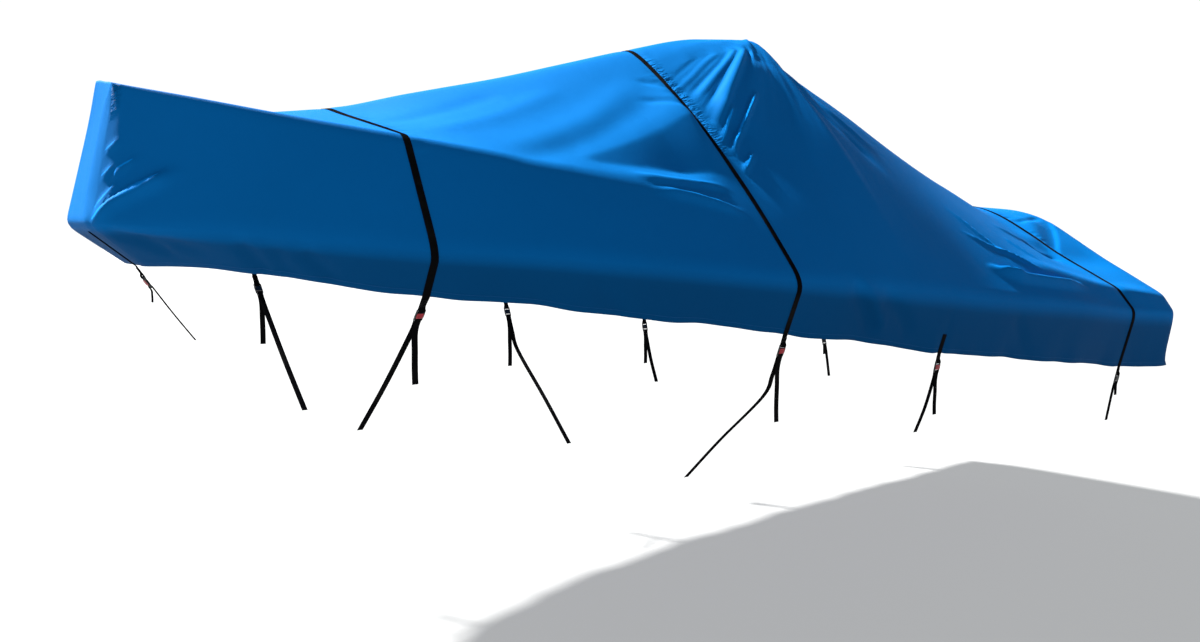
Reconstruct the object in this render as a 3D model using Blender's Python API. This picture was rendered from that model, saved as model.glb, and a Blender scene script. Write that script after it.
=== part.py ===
"""Fitted cloth cover, held up at its peak and drawn tight over its rim with webbing.

Metres, +Z up. +X runs from the bow end to the stern end and -Y is the port side. The cover is
drawn on stations along X. At each station a section runs from the port hem over the ridge to the
starboard hem, through the keys of KEYS. Heights are drawn from the floor and X from the bow tip,
and everything is then moved so that the origin is under the peak, where the cover is held up.
"""

import math
from collections import namedtuple

import bmesh
import bpy
from mathutils import Matrix, Vector

SHEET = 0.0025  # cloth thickness
WEBBING = 0.025  # webbing width
WEBBING_THICK = 0.0016
CLEAR = 0.0005  # gap between webbing and what it lies on
HELD_AT = Vector((3.18, 0.0, 2.480))  # underside of the peak, which becomes the origin

# One row for each section that was measured. Half widths are from the centre line.
Station = namedtuple(
    "Station",
    "x gunwale_y gunwale_z rail_y rail_z shoulder_y shoulder_z crown_y crown_z ridge_z drop tuck",
)
STATIONS = (
    Station(0.00, 0.17, 1.617, 0.105, 2.112, 0.070, 2.117, 0.035, 2.118, 2.118, 0.140, 0.060),
    Station(0.30, 0.46, 1.590, 0.340, 2.055, 0.220, 2.070, 0.090, 2.078, 2.080, 0.120, 0.100),
    Station(0.60, 0.70, 1.556, 0.530, 1.995, 0.350, 2.012, 0.140, 2.028, 2.035, 0.125, 0.090),
    Station(0.93, 0.90, 1.525, 0.690, 1.935, 0.450, 1.978, 0.160, 2.022, 2.055, 0.145, 0.080),
    Station(1.30, 1.01, 1.500, 0.780, 1.870, 0.470, 1.998, 0.150, 2.108, 2.160, 0.165, 0.080),
    Station(1.70, 1.09, 1.462, 0.830, 1.805, 0.500, 1.998, 0.150, 2.182, 2.240, 0.185, 0.080),
    Station(2.10, 1.13, 1.420, 0.860, 1.745, 0.530, 2.010, 0.160, 2.245, 2.312, 0.200, 0.085),
    Station(2.43, 1.16, 1.385, 0.880, 1.705, 0.550, 2.015, 0.170, 2.322, 2.412, 0.215, 0.090),
    Station(2.85, 1.16, 1.342, 0.890, 1.690, 0.550, 2.040, 0.150, 2.420, 2.480, 0.230, 0.090),
    Station(3.18, 1.16, 1.305, 0.890, 1.660, 0.530, 2.060, 0.120, 2.452, 2.492, 0.250, 0.090),
    Station(3.26, 1.16, 1.298, 0.890, 1.640, 0.530, 2.020, 0.130, 2.385, 2.440, 0.255, 0.090),
    Station(3.70, 1.16, 1.250, 0.890, 1.530, 0.540, 1.845, 0.180, 2.135, 2.185, 0.265, 0.085),
    Station(4.40, 1.15, 1.185, 0.900, 1.375, 0.570, 1.595, 0.230, 1.815, 1.850, 0.285, 0.080),
    Station(4.88, 1.13, 1.130, 0.940, 1.275, 0.600, 1.455, 0.260, 1.645, 1.690, 0.290, 0.080),
    Station(5.29, 1.15, 1.098, 1.000, 1.232, 0.620, 1.440, 0.290, 1.636, 1.655, 0.285, 0.065),
)
KEYS = ("hem", "gunwale", "rail", "shoulder", "crown", "ridge")
# Mesh rows between one key and the next, as shares of the way.
ROWS = (
    (0.0, 0.42, 0.80),
    (0.0, 0.14, 0.38, 0.64, 0.87),
    (0.0, 0.12, 0.38, 0.69),
    (0.0, 0.25, 0.50, 0.75),
    (0.0, 0.33, 0.67),
)
RAIL_ROW = len(ROWS[0]) + len(ROWS[1])
PEAK_X = 3.18

# How far each key lies aft of its station at the bow end, which leans back and tucks under.
BOW_RAKE = {"hem": 0.20, "gunwale": 0.01, "rail": 0.125, "shoulder": 0.13, "crown": 0.13, "ridge": 0.13}
BOW_RAKE_LENGTH = 0.80
STERN_BULGE = 0.030  # how far the stern end swells aft
BOW_EASING, STERN_EASING = 0.06, 0.18  # share by which each pass eases an end's edges round
EASING_PASSES = 2

# Reach of the rounding at each key, as a share of the sides that meet there.
ROUNDING = {"gunwale": 0.22, "shoulder": 0.5, "crown": 0.5, "ridge": 0.45}
RAIL_ROUNDING_BOW = 0.10
RAIL_ROUNDING_AFT = 0.50
RAIL_END_X = (1.3, 2.3)  # the rail's edge fades between these stations

# Stretches of stations: where each ends, and in how many steps.
Stretch = namedtuple("Stretch", "end steps")
OVER_X = {"front": 0.95, "mid": 2.43, "aft": 4.89}  # stations of the webbing that goes over
QUARTER_X = 3.39


def around(x):
    return x - WEBBING / 2, x + WEBBING / 2


STRETCHES = (
    Stretch(around(OVER_X["front"])[0], 7),
    Stretch(around(OVER_X["front"])[1], 1),
    Stretch(around(OVER_X["mid"])[0], 12),
    Stretch(around(OVER_X["mid"])[1], 1),
    Stretch(PEAK_X, 9),
    Stretch(around(QUARTER_X)[0], 2),
    Stretch(around(QUARTER_X)[1], 1),
    Stretch(around(OVER_X["aft"])[0], 12),
    Stretch(around(OVER_X["aft"])[1], 1),
    Stretch(STATIONS[-1].x, 5),
)


# Folds drawn on the cloth laid flat: along X, and down from the ridge. Depth is outwards.
Fold = namedtuple("Fold", "side x0 down0 x1 down1 width depth")
PORT, STARBOARD = "port", "starboard"
FOLDS = (
    # fan that hangs from the peak
    Fold(PORT, 3.06, 0.14, 2.50, 0.64, 0.058, 0.024),
    Fold(PORT, 2.98, 0.12, 2.52, 0.50, 0.046, -0.018),
    Fold(PORT, 2.94, 0.16, 2.48, 0.44, 0.052, 0.018),
    Fold(PORT, 3.12, 0.10, 2.74, 0.60, 0.062, -0.018),
    Fold(PORT, 2.80, 0.56, 2.50, 0.83, 0.065, -0.018),
    Fold(PORT, 2.68, 0.55, 2.50, 0.76, 0.058, 0.018),
    Fold(STARBOARD, 3.08, 0.12, 2.55, 0.72, 0.065, 0.023),
    Fold(STARBOARD, 3.12, 0.14, 2.88, 0.62, 0.058, -0.023),
    Fold(STARBOARD, 2.96, 0.16, 2.50, 0.50, 0.052, -0.016),
    # drag lines where the rail's edge runs out
    Fold(PORT, 1.75, 0.93, 2.34, 1.03, 0.065, 0.013),
    Fold(PORT, 1.95, 1.08, 2.34, 1.19, 0.058, 0.010),
    Fold(PORT, 1.90, 0.80, 2.36, 0.82, 0.078, -0.013),
    Fold(PORT, 2.20, 0.53, 2.40, 0.50, 0.058, -0.010),
    Fold(STARBOARD, 1.85, 0.96, 2.34, 1.08, 0.065, 0.013),
    Fold(STARBOARD, 1.95, 0.82, 2.36, 0.80, 0.078, -0.012),
    # drag lines and the dip in front of the raised stern
    Fold(PORT, 3.96, 0.85, 4.45, 1.01, 0.072, 0.016),
    Fold(PORT, 3.95, 1.02, 4.30, 1.04, 0.058, 0.010),
    Fold(PORT, 4.00, 1.20, 4.66, 1.10, 0.065, 0.016),
    Fold(PORT, 4.10, 0.98, 4.62, 0.86, 0.078, -0.013),
    Fold(PORT, 5.20, 0.36, 4.98, 0.66, 0.078, -0.026),
    Fold(PORT, 5.10, 0.28, 4.97, 0.44, 0.065, 0.016),
    Fold(PORT, 5.10, 0.86, 4.96, 1.08, 0.065, -0.013),
    Fold(STARBOARD, 4.00, 0.90, 4.55, 1.06, 0.072, 0.016),
    Fold(STARBOARD, 4.12, 1.16, 4.66, 1.10, 0.065, -0.013),
    Fold(STARBOARD, 5.20, 0.40, 4.98, 0.72, 0.078, -0.023),
    # creases on the bow
    Fold(PORT, 0.03, 0.64, 0.22, 0.54, 0.039, 0.010),
    Fold(STARBOARD, 0.04, 0.60, 0.24, 0.50, 0.039, 0.009),
    # slack in the skirt
    Fold(PORT, 0.39, 0.86, 0.47, 1.07, 0.052, -0.013),
    Fold(PORT, 0.56, 0.98, 0.67, 1.16, 0.052, -0.013),
    Fold(PORT, 2.72, 1.61, 2.92, 1.85, 0.072, -0.018),
    Fold(PORT, 2.92, 1.68, 3.16, 1.86, 0.065, -0.013),
    Fold(STARBOARD, 0.44, 0.90, 0.56, 1.12, 0.052, -0.013),
    Fold(STARBOARD, 1.60, 1.36, 1.78, 1.54, 0.065, -0.013),
    Fold(STARBOARD, 3.80, 1.50, 4.02, 1.74, 0.072, -0.018),
)
STRAP_HOLD = 0.07  # folds die out this near to webbing

# Slack of the skirt between ties: wave length, swell out and drop of the hem.
Wave = namedtuple("Wave", "length swell drop")
WAVES = (Wave(0.83, 0.006, 0.005), Wave(0.37, 0.005, 0.003), Wave(0.21, 0.003, 0.002))


# Webbing that leaves the hem. reach runs from the hem to the buckle, route is (out from the
# centre line, height) down to where the tie is hooked, and tail is the free end that hangs.
Drop = namedtuple("Drop", "name x reach route tail")
DROPS = (
    Drop("front", OVER_X["front"], 0.055, ((0.711, 1.238), (0.497, 1.029), (0.271, 0.826)), 0.23),
    Drop(
        "mid",
        OVER_X["mid"],
        0.040,
        ((1.000, 0.998), (0.944, 0.900), (0.686, 0.679), (0.461, 0.474)),
        0.27,
    ),
    Drop("quarter", QUARTER_X, 0.036, ((1.045, 0.900), (1.003, 0.769), (0.950, 0.645)), 0.19),
    Drop("aft", OVER_X["aft"], 0.036, ((1.020, 0.700), (0.992, 0.545)), 0.06),
)
BOW_DROP = Drop("bow", 0.0, 0.045, ((-0.330, 1.290), (-0.405, 1.190)), 0.05)
TAB_ROWS = 1  # mesh rows of the skirt that a sewn tab runs up

# Buckle, along the webbing: bars at both ends, a slot inside each bar and a plate between.
BUCKLE = {
    "width": 0.034,
    "thick": 0.007,
    "bar": 0.005,
    "slot": 0.008,
    "plate": 0.024,
    "rail": 0.0035,
    "bevel": 0.0008,
}
BUCKLE_LENGTH = 2 * (BUCKLE["bar"] + BUCKLE["slot"]) + BUCKLE["plate"]
BUTTON = {"inset": 0.0025, "rise": 0.004}  # the push plate, raised from the middle plate
LOOP = BUCKLE["thick"] / 2 + CLEAR + WEBBING_THICK / 2  # webbing's middle from the buckle's
LOOP_STEPS = 6
SNUG = 0.0008  # how far a loop sits off its bar's middle, so that it clears both edges
LAYER_GAP = 0.0006  # between one layer of webbing and the next
# Sewn end: from the buckle's edge back up the webbing, as far as where it turns in and where it
# lies flat, and how far short of the hem it stops.
SEWN = {"turn": 0.004, "flat": 0.014, "short": 0.008}
TAIL_START = 0.003  # past the buckle's lower edge
TAIL_STEPS = 9
TAIL_SWAY = 0.04  # sideways for each unit down
PAST_HEM = 0.004


def blend(a, b, share):
    return a + (b - a) * share


def ramp(value, low, high):
    """0 below low and 1 above high, smooth between."""
    share = min(max((value - low) / (high - low), 0.0), 1.0)
    return share * share * (3 - 2 * share)


def slopes(xs, values):
    """Slopes at the points that keep a curve through them from overshooting."""
    steps = [(values[i + 1] - values[i]) / (xs[i + 1] - xs[i]) for i in range(len(xs) - 1)]
    found = [steps[0]]
    for before, after in zip(steps, steps[1:]):
        found.append(0.0 if before * after <= 0 else 2 * before * after / (before + after))
    return found + [steps[-1]]


def column_curve(name):
    """A smooth function of x through one column of STATIONS."""
    xs = [row.x for row in STATIONS]
    values = [getattr(row, name) for row in STATIONS]
    tangents = slopes(xs, values)

    def curve(x):
        i = max(j for j in range(len(xs) - 1) if xs[j] <= max(x, xs[0]))
        span = xs[i + 1] - xs[i]
        s = (x - xs[i]) / span
        return (
            values[i] * (1 + 2 * s) * (1 - s) ** 2
            + tangents[i] * span * s * (1 - s) ** 2
            + values[i + 1] * s * s * (3 - 2 * s)
            + tangents[i + 1] * span * s * s * (s - 1)
        )

    return curve


CURVES = {name: column_curve(name) for name in Station._fields if name != "x"}


def key_points(x):
    """The section's corners at station x, from the port hem over to the starboard hem."""
    at = {name: curve(x) for name, curve in CURVES.items()}
    heights = [at["gunwale_z"] - at["drop"]] + [at[key + "_z"] for key in KEYS[1:]]
    widths = [at["gunwale_y"] - at["tuck"]] + [at[key + "_y"] for key in KEYS[1:-1]] + [0.0]
    fade = max(0.0, 1 - x / BOW_RAKE_LENGTH) ** 2
    port = [
        Vector((x + BOW_RAKE[key] * fade, -width, height))
        for key, width, height in zip(KEYS, widths, heights)
    ]
    return port + [Vector((p.x, -p.y, p.z)) for p in reversed(port[:-1])]


def rounding(x):
    """Half window of the rounding at each corner of the section."""
    share = ramp(x, *RAIL_END_X)
    windows = {**ROUNDING, "rail": blend(RAIL_ROUNDING_BOW, RAIL_ROUNDING_AFT, share), "hem": 0.0}
    port = [windows[key] for key in KEYS]
    return port + list(reversed(port[:-1]))


def section_point(x, t):
    """The point at t on the section: 0 is the port hem, 5 the ridge and 10 the starboard hem."""
    corners, windows = key_points(x), rounding(x)

    def straight(s):
        i = min(int(s), len(corners) - 2)
        return corners[i].lerp(corners[i + 1], s - i)

    near = round(t)
    window = windows[near]
    if window == 0.0 or abs(t - near) >= window:
        return straight(t)
    start, end = straight(near - window), straight(near + window)
    s = (t - near + window) / (2 * window)
    return start * (1 - s) ** 2 + corners[near] * (2 * s * (1 - s)) + end * s * s


def row_places():
    """t of each mesh row, from the port hem to the starboard hem."""
    places = [k + share for k, shares in enumerate(ROWS) for share in shares]
    last = 2 * (len(KEYS) - 1)
    return places + [float(len(KEYS) - 1)] + [last - t for t in reversed(places)]


def station_places():
    places = [STATIONS[0].x]
    for stretch in STRETCHES:
        start = places[-1]
        places += [blend(start, stretch.end, (i + 1) / stretch.steps) for i in range(stretch.steps)]
    return places


def end_wall(rim, bulge):
    """Rows of points that close an end: from the hem up to the top edge, port to starboard.

    rim is the end station's own row of points, and bulge the swell along X.
    """
    top = rim[RAIL_ROW : len(rim) - RAIL_ROW]
    wall = []
    for k in range(RAIL_ROW + 1):
        port, starboard = rim[k], rim[len(rim) - 1 - k]
        rise = k / RAIL_ROW
        line = []
        for point in top:
            share = (point.y - top[0].y) / (top[-1].y - top[0].y)
            lift = point - top[0].lerp(top[-1], share)
            swell = bulge * (1 - (2 * share - 1) ** 2) * (1 - rise**3)
            line.append(port.lerp(starboard, share) + lift * rise + Vector((swell, 0, 0)))
        wall.append(line)
    wall[-1] = top
    return wall


def cover_grid():
    """Points of the outer face of the cloth: station rows, the bow wall and the stern wall."""
    rows = [[section_point(x, t) for t in row_places()] for x in station_places()]
    return rows, end_wall(rows[0], 0.0), end_wall(rows[-1], STERN_BULGE)


def new_object(name, build, material):
    mesh = bpy.data.meshes.new(name)
    build.to_mesh(mesh)
    build.free()
    mesh.materials.append(material)
    made = bpy.data.objects.new(name, mesh)
    bpy.context.scene.collection.objects.link(made)
    return made


def principled(name, colour, roughness, metallic=0.0):
    material = bpy.data.materials.new(name)
    material.use_nodes = True
    shader = material.node_tree.nodes["Principled BSDF"]
    shader.inputs["Base Color"].default_value = (*colour, 1.0)
    shader.inputs["Roughness"].default_value = roughness
    shader.inputs["Metallic"].default_value = metallic
    return material


def strap_hold(x):
    """0 under webbing and 1 away from it."""
    near = min(abs(x - place) for place in (*OVER_X.values(), QUARTER_X))
    return 1 - math.exp(-((near / STRAP_HOLD) ** 2))


def fold_depth(side, x, down):
    """How far the folds of one side lift the cloth out at a place on it."""
    total = 0.0
    for fold in FOLDS:
        if fold.side != side:
            continue
        along_x, along_down = fold.x1 - fold.x0, fold.down1 - fold.down0
        length = math.hypot(along_x, along_down)
        share = ((x - fold.x0) * along_x + (down - fold.down0) * along_down) / length**2
        share = min(max(share, 0.0), 1.0)
        gap = math.hypot(x - blend(fold.x0, fold.x1, share), down - blend(fold.down0, fold.down1, share))
        total += fold.depth * math.exp(-((gap / fold.width) ** 2))
    return total


def skirt_slack(side, x, t):
    """(swell out, drop) of the skirt, none at the gunwale and most at the hem."""
    hang = max(0.0, 1 - t) ** 2
    shift = 0.4 if side == PORT else 1.7
    turns = [2 * math.pi * x / wave.length + shift * (i + 1) for i, wave in enumerate(WAVES)]
    swell = sum(wave.swell * math.sin(turn) for wave, turn in zip(WAVES, turns))
    drop = sum(wave.drop * math.cos(turn) for wave, turn in zip(WAVES, turns))
    return swell * hang, drop * hang


def crease_cloth(verts):
    """Moves the points of the station rows out along their normals by the folds and the slack."""
    ridge = len(verts[0]) // 2
    last = 2 * (len(KEYS) - 1)
    moves = []
    for x, row in zip(station_places(), verts):
        for side, step in ((PORT, -1), (STARBOARD, 1)):
            down, j = 0.0, ridge
            while 0 <= j + step < len(row):
                down += (row[j + step].co - row[j].co).length
                j += step
                t = min(row_places()[j], last - row_places()[j])
                swell, drop = skirt_slack(side, x, t)
                lift = (fold_depth(side, x, down) + swell) * strap_hold(x)
                moves.append((row[j], row[j].normal * lift - Vector((0, 0, drop * strap_hold(x)))))
    for vert, move in moves:
        vert.co += move


Skin = namedtuple("Skin", "points normals")  # outer face: [station][row] of each


def skin_of(lines):
    points = [[v.co.copy() for v in line] for line in lines]
    return Skin(points, [[v.normal.copy() for v in line] for line in lines])


def ease(build, verts, factor):
    for _ in range(EASING_PASSES):
        bmesh.ops.smooth_vert(
            build, verts=verts, factor=factor, use_axis_x=True, use_axis_y=True, use_axis_z=True
        )


def cover_mesh():
    """The outer face of the cover, with the skins that webbing lies on: its sides and its bow."""
    rows, bow, stern = cover_grid()
    build = bmesh.new()
    verts = [[build.verts.new(p) for p in row] for row in rows]
    for near, far in zip(verts, verts[1:]):
        for j in range(len(near) - 1):
            build.faces.new((near[j], far[j], far[j + 1], near[j + 1]))
    walls = []
    for wall, rim, outward in ((bow, verts[0], -1), (stern, verts[-1], 1)):
        last = len(rim) - 1
        lines = []
        for k, line in enumerate(wall[:-1]):
            inner = [build.verts.new(p) for p in line[1:-1]]
            lines.append([rim[k], *inner, rim[last - k]])
        lines.append(rim[RAIL_ROW : last + 1 - RAIL_ROW])
        for low, high in zip(lines, lines[1:]):
            for i in range(len(low) - 1):
                corners = (low[i], low[i + 1], high[i + 1], high[i])
                build.faces.new(corners if outward > 0 else corners[::-1])
        walls.append(lines)
    build.normal_update()
    crease_cloth(verts)
    for rims, factor in ((verts[:1], BOW_EASING), (verts[-2:], STERN_EASING)):
        ease(build, [v for rim in rims for v in rim[1:-1]], factor)
    build.normal_update()
    return build, skin_of(verts), skin_of(walls[0])


Ring = namedtuple("Ring", "left right normal")  # a cut across webbing, at its mid thickness


def ribbon(name, rings, material):
    """Flat webbing through a row of rings."""
    build = bmesh.new()
    half = WEBBING_THICK / 2
    loops = []
    for left, right, normal in rings:
        lift = normal * half
        loops.append([build.verts.new(p) for p in (left - lift, right - lift, right + lift, left + lift)])
    for near, far in zip(loops, loops[1:]):
        for i in range(4):
            build.faces.new((near[i], near[(i + 1) % 4], far[(i + 1) % 4], far[i]))
    build.faces.new(loops[0])
    build.faces.new(loops[-1])
    bmesh.ops.recalc_face_normals(build, faces=build.faces)
    return new_object(name, build, material)


def ring_on_skin(left, right, left_normal, right_normal):
    normal = (left_normal + right_normal).normalized()
    lift = normal * (CLEAR + WEBBING_THICK / 2)
    return Ring(left + lift, right + lift, normal)


def middle_of(ring):
    return (ring.left + ring.right) / 2


def past_hem(rings):
    """A ring just past the first one, so that the webbing clears the cloth's edge before it turns."""
    onward = (middle_of(rings[0]) - middle_of(rings[1])).normalized() * PAST_HEM
    first = rings[0]
    return Ring(first.left + onward, first.right + onward, first.normal)


class Fall:
    """A plane in which webbing falls from the hem: out from the centre, and height."""

    def __init__(self, drop, out, across, hem):
        self.drop, self.out, self.across = drop, out, across
        middle = middle_of(hem)
        self.base = middle - out * middle.dot(out)
        self.base.z = 0.0
        self.start = Vector((middle.dot(out), middle.z))
        self.down = (Vector(drop.route[0]) - self.start).normalized()
        self.away = Vector((-self.down.y, self.down.x))
        self.origin = self.start + self.down * drop.reach + self.away * LOOP

    def local(self, along, off):
        """A place in the plane, from the buckle's upper edge and its mid thickness."""
        return self.origin + self.down * along + self.away * off

    def world(self, flat):
        return self.base + self.out * flat.x + Vector((0, 0, flat.y))

    def rings(self, path):
        """Rings along a path of flat points."""
        found = []
        for i, point in enumerate(path):
            along = path[min(i + 1, len(path) - 1)] - path[max(i - 1, 0)]
            along.normalize()
            normal = self.out * -along.y + Vector((0, 0, along.x))
            middle = self.world(point)
            half = self.across * (WEBBING / 2)
            found.append(Ring(middle - half, middle + half, normal))
        return found

    def loop(self, along, bulge):
        """Half a turn round a bar, from the inner side to the outer side."""
        turns = [math.pi * i / LOOP_STEPS for i in range(LOOP_STEPS + 1)]
        return [self.local(along + bulge * LOOP * math.sin(turn), -LOOP * math.cos(turn)) for turn in turns]

    def sewn_end(self):
        """From the hem down to the buckle, round its upper bar and back up, sewn to itself."""
        layer = WEBBING_THICK + LAYER_GAP - LOOP
        back = (
            (-SEWN["turn"], LOOP - LAYER_GAP),
            (-SEWN["flat"], layer),
            (SEWN["short"] - self.drop.reach, layer),
        )
        path = self.loop(BUCKLE["bar"] - SNUG, 1) + [self.local(*place) for place in back]
        return self.rings(path)

    def tie(self):
        """From the hook up to the buckle, round its lower bar and out as the tail that hangs."""
        bar = BUCKLE_LENGTH - BUCKLE["bar"] + SNUG
        route = [self.local(BUCKLE_LENGTH, -LOOP)] + [Vector(place) for place in self.drop.route]
        path = list(reversed(smooth_route(route))) + self.loop(bar, -1)
        path.append(self.local(BUCKLE_LENGTH + TAIL_START, LOOP))
        step = self.drop.tail / TAIL_STEPS
        for i in range(TAIL_STEPS):
            turn = ramp(i, -1, 3)
            heading = self.down.lerp(Vector((TAIL_SWAY * math.sin(i), -1.0)), turn).normalized()
            path.append(path[-1] + heading * step)
        return self.rings(path)

    def matrix(self):
        """Places a buckle drawn with X across the webbing, Y along it and Z outwards."""
        along_axis = self.out * self.down.x + Vector((0, 0, self.down.y))
        away_axis = self.out * self.away.x + Vector((0, 0, self.away.y))
        turned = Matrix((along_axis.cross(away_axis), along_axis, away_axis)).transposed()
        return Matrix.Translation(self.world(self.origin)) @ turned.to_4x4()


def smooth_route(points):
    """A curve through the points, four steps to each span."""
    ends = [points[0] * 2 - points[1], *points, points[-1] * 2 - points[-2]]
    found = [points[0]]
    for a, b, c, d in zip(ends, ends[1:], ends[2:], ends[3:]):
        for i in range(1, 5):
            s = i / 4
            found.append(
                (b * 2 + (c - a) * s + (a * 2 - b * 5 + c * 4 - d) * s**2 + (b * 3 - a - c * 3 + d) * s**3) / 2
            )
    return found


def buckle_mesh():
    """A flat frame: two bars, two slots and a plate with its button between two side rails."""
    half_width, rail = BUCKLE["width"] / 2, BUCKLE["rail"]
    across = (-half_width, rail - half_width, half_width - rail, half_width)
    along = [0.0]
    for size in ("bar", "slot", "plate", "slot", "bar"):
        along.append(along[-1] + BUCKLE[size])
    half_thick = BUCKLE["thick"] / 2
    open_cells = {(1, 1), (1, 3)}
    cells = [(i, j) for i in range(3) for j in range(5) if (i, j) not in open_cells]
    build = bmesh.new()
    corner = {
        (i, j, side): build.verts.new((x, y, side * half_thick))
        for i, x in enumerate(across)
        for j, y in enumerate(along)
        for side in (-1, 1)
    }
    plate = None
    for i, j in cells:
        square = ((i, j), (i + 1, j), (i + 1, j + 1), (i, j + 1))
        for side in (-1, 1):
            face = build.faces.new([corner[(*place, side)] for place in square])
            if (i, j, side) == (1, 2, 1):
                plate = face
        for k, (di, dj) in enumerate(((0, -1), (1, 0), (0, 1), (-1, 0))):
            if (i + di, j + dj) not in cells:
                a, b = square[k], square[(k + 1) % 4]
                build.faces.new([corner[(*a, -1)], corner[(*b, -1)], corner[(*b, 1)], corner[(*a, 1)]])
    bmesh.ops.recalc_face_normals(build, faces=build.faces)
    bmesh.ops.inset_individual(build, faces=[plate], thickness=BUTTON["inset"], depth=BUTTON["rise"])
    return build


def fit_buckle(fall, name, shape, webbing):
    buckle = bpy.data.objects.new("buckle_" + name, shape)
    buckle.matrix_world = fall.matrix()
    bpy.context.scene.collection.objects.link(buckle)
    edge = buckle.modifiers.new("Bevel", "BEVEL")
    edge.width = BUCKLE["bevel"]
    edge.segments = 1
    edge.limit_method = "ANGLE"
    ribbon("tie_" + name, fall.tie(), webbing)


def main():
    for old in list(bpy.data.objects):
        bpy.data.objects.remove(old)
    materials = {
        "cloth": principled("cloth", (0.005, 0.16, 0.55), 0.75),
        "webbing": principled("webbing", (0.012, 0.012, 0.014), 0.8),
        "buckle": principled("buckle", (0.015, 0.015, 0.017), 0.35),
    }
    build, skin, bow_skin = cover_mesh()
    cover = new_object("cover", build, materials["cloth"])
    cover.data.shade_smooth()
    thicken = cover.modifiers.new("Sheet", "SOLIDIFY")
    thicken.thickness = SHEET
    thicken.offset = -1.0
    thicken.use_even_offset = True

    build = buckle_mesh()
    shape = bpy.data.meshes.new("buckle")
    build.to_mesh(shape)
    build.free()
    shape.materials.append(materials["buckle"])

    across = Vector((1, 0, 0))
    for drop in DROPS:
        left = min(range(len(skin.points)), key=lambda s: abs(station_places()[s] - drop.x + WEBBING / 2))
        rings = [
            ring_on_skin(*(part[s][j] for part in skin for s in (left, left + 1)))
            for j in range(len(skin.points[left]))
        ]
        rings = [past_hem(rings), *rings, past_hem(rings[::-1])]
        port = Fall(drop, Vector((0, -1, 0)), across, rings[0])
        starboard = Fall(drop, Vector((0, 1, 0)), across, rings[-1])
        if drop.name in OVER_X:
            ends = list(reversed(port.sewn_end())), starboard.sewn_end()
            ribbon("over_" + drop.name, ends[0] + rings + ends[1], materials["webbing"])
        else:
            ends = rings[: TAB_ROWS + 2], rings[-TAB_ROWS - 2 :][::-1]
            for side, fall, sewn in zip((PORT, STARBOARD), (port, starboard), ends):
                path = list(reversed(sewn)) + fall.sewn_end()
                ribbon(f"tab_{drop.name}_{side}", path, materials["webbing"])
        fit_buckle(port, f"{drop.name}_{PORT}", shape, materials["webbing"])
        fit_buckle(starboard, f"{drop.name}_{STARBOARD}", shape, materials["webbing"])

    middle = len(bow_skin.points[0]) // 2
    half = Vector((0, WEBBING / 2, 0))
    rings = []
    for points, normals in zip(bow_skin.points[: TAB_ROWS + 2], bow_skin.normals):
        point, normal = points[middle], normals[middle]
        rings.append(ring_on_skin(point - half, point + half, normal, normal))
    rings.insert(0, past_hem(rings))
    fall = Fall(BOW_DROP, Vector((-1, 0, 0)), Vector((0, 1, 0)), rings[0])
    ribbon("tab_bow", list(reversed(rings)) + fall.sewn_end(), materials["webbing"])
    fit_buckle(fall, "bow", shape, materials["webbing"])

    for made in bpy.data.objects:
        made.location -= HELD_AT


main()
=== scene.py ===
import math

import bmesh
import bpy
import numpy as np
from mathutils import Matrix, Vector, noise


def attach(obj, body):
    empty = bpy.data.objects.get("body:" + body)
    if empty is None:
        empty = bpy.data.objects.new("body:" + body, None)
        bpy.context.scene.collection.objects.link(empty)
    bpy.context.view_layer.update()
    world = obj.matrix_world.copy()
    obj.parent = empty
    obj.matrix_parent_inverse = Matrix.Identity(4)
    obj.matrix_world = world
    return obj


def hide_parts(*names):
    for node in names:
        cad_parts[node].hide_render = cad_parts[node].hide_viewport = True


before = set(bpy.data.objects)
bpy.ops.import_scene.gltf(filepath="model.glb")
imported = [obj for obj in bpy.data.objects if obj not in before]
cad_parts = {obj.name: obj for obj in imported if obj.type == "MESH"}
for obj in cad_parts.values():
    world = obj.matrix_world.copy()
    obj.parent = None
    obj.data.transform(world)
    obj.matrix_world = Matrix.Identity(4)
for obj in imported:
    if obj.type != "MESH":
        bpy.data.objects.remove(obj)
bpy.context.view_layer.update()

heldAt = np.array((3.18, 0.0, 2.48))  # the frame's origin, under the peak, as the cloth is drawn
up = Vector((0, 0, 1))


def blend(a, b, share):
    return a + (b - a) * share


def ramp(value, low, high):  # 0 below low, 1 above high, smooth between
    share = np.clip((value - low) / (high - low), 0.0, 1.0)
    return share * share * (3 - 2 * share)


def newObject(name, mesh, material):
    made = bpy.data.objects.new(name, mesh)
    mesh.materials.append(material)
    bpy.context.scene.collection.objects.link(made)
    return made


def smoothed(mesh, angle):
    mesh.polygons.foreach_set("use_smooth", [True] * len(mesh.polygons))
    mesh.set_sharp_from_angle(angle=math.radians(angle))


def meshOf(name, build):
    mesh = bpy.data.meshes.new(name)
    build.to_mesh(mesh)
    build.free()
    return mesh


def newGroup(name, inputs, outputs):  # inputs: name -> number, or None for a vector
    group = bpy.data.node_groups.new(name, "ShaderNodeTree")
    for socket, value in inputs.items():
        kind = "NodeSocketVector" if value is None else "NodeSocketFloat"
        made = group.interface.new_socket(socket, in_out="INPUT", socket_type=kind)
        if value is not None:
            made.default_value = value
    for socket in outputs:
        group.interface.new_socket(socket, in_out="OUTPUT", socket_type="NodeSocketFloat")
    return group, group.nodes.new("NodeGroupInput").outputs, group.nodes.new("NodeGroupOutput").inputs


def addNode(tree, kind, links=None, **settings):  # links: input name or number -> socket or value
    node = tree.nodes.new(kind)
    for key, value in settings.items():
        setattr(node, key, value)
    for key, value in (links or {}).items():
        if isinstance(value, bpy.types.NodeSocket):
            tree.links.new(value, node.inputs[key])
        else:
            node.inputs[key].default_value = value
    return node


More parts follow.
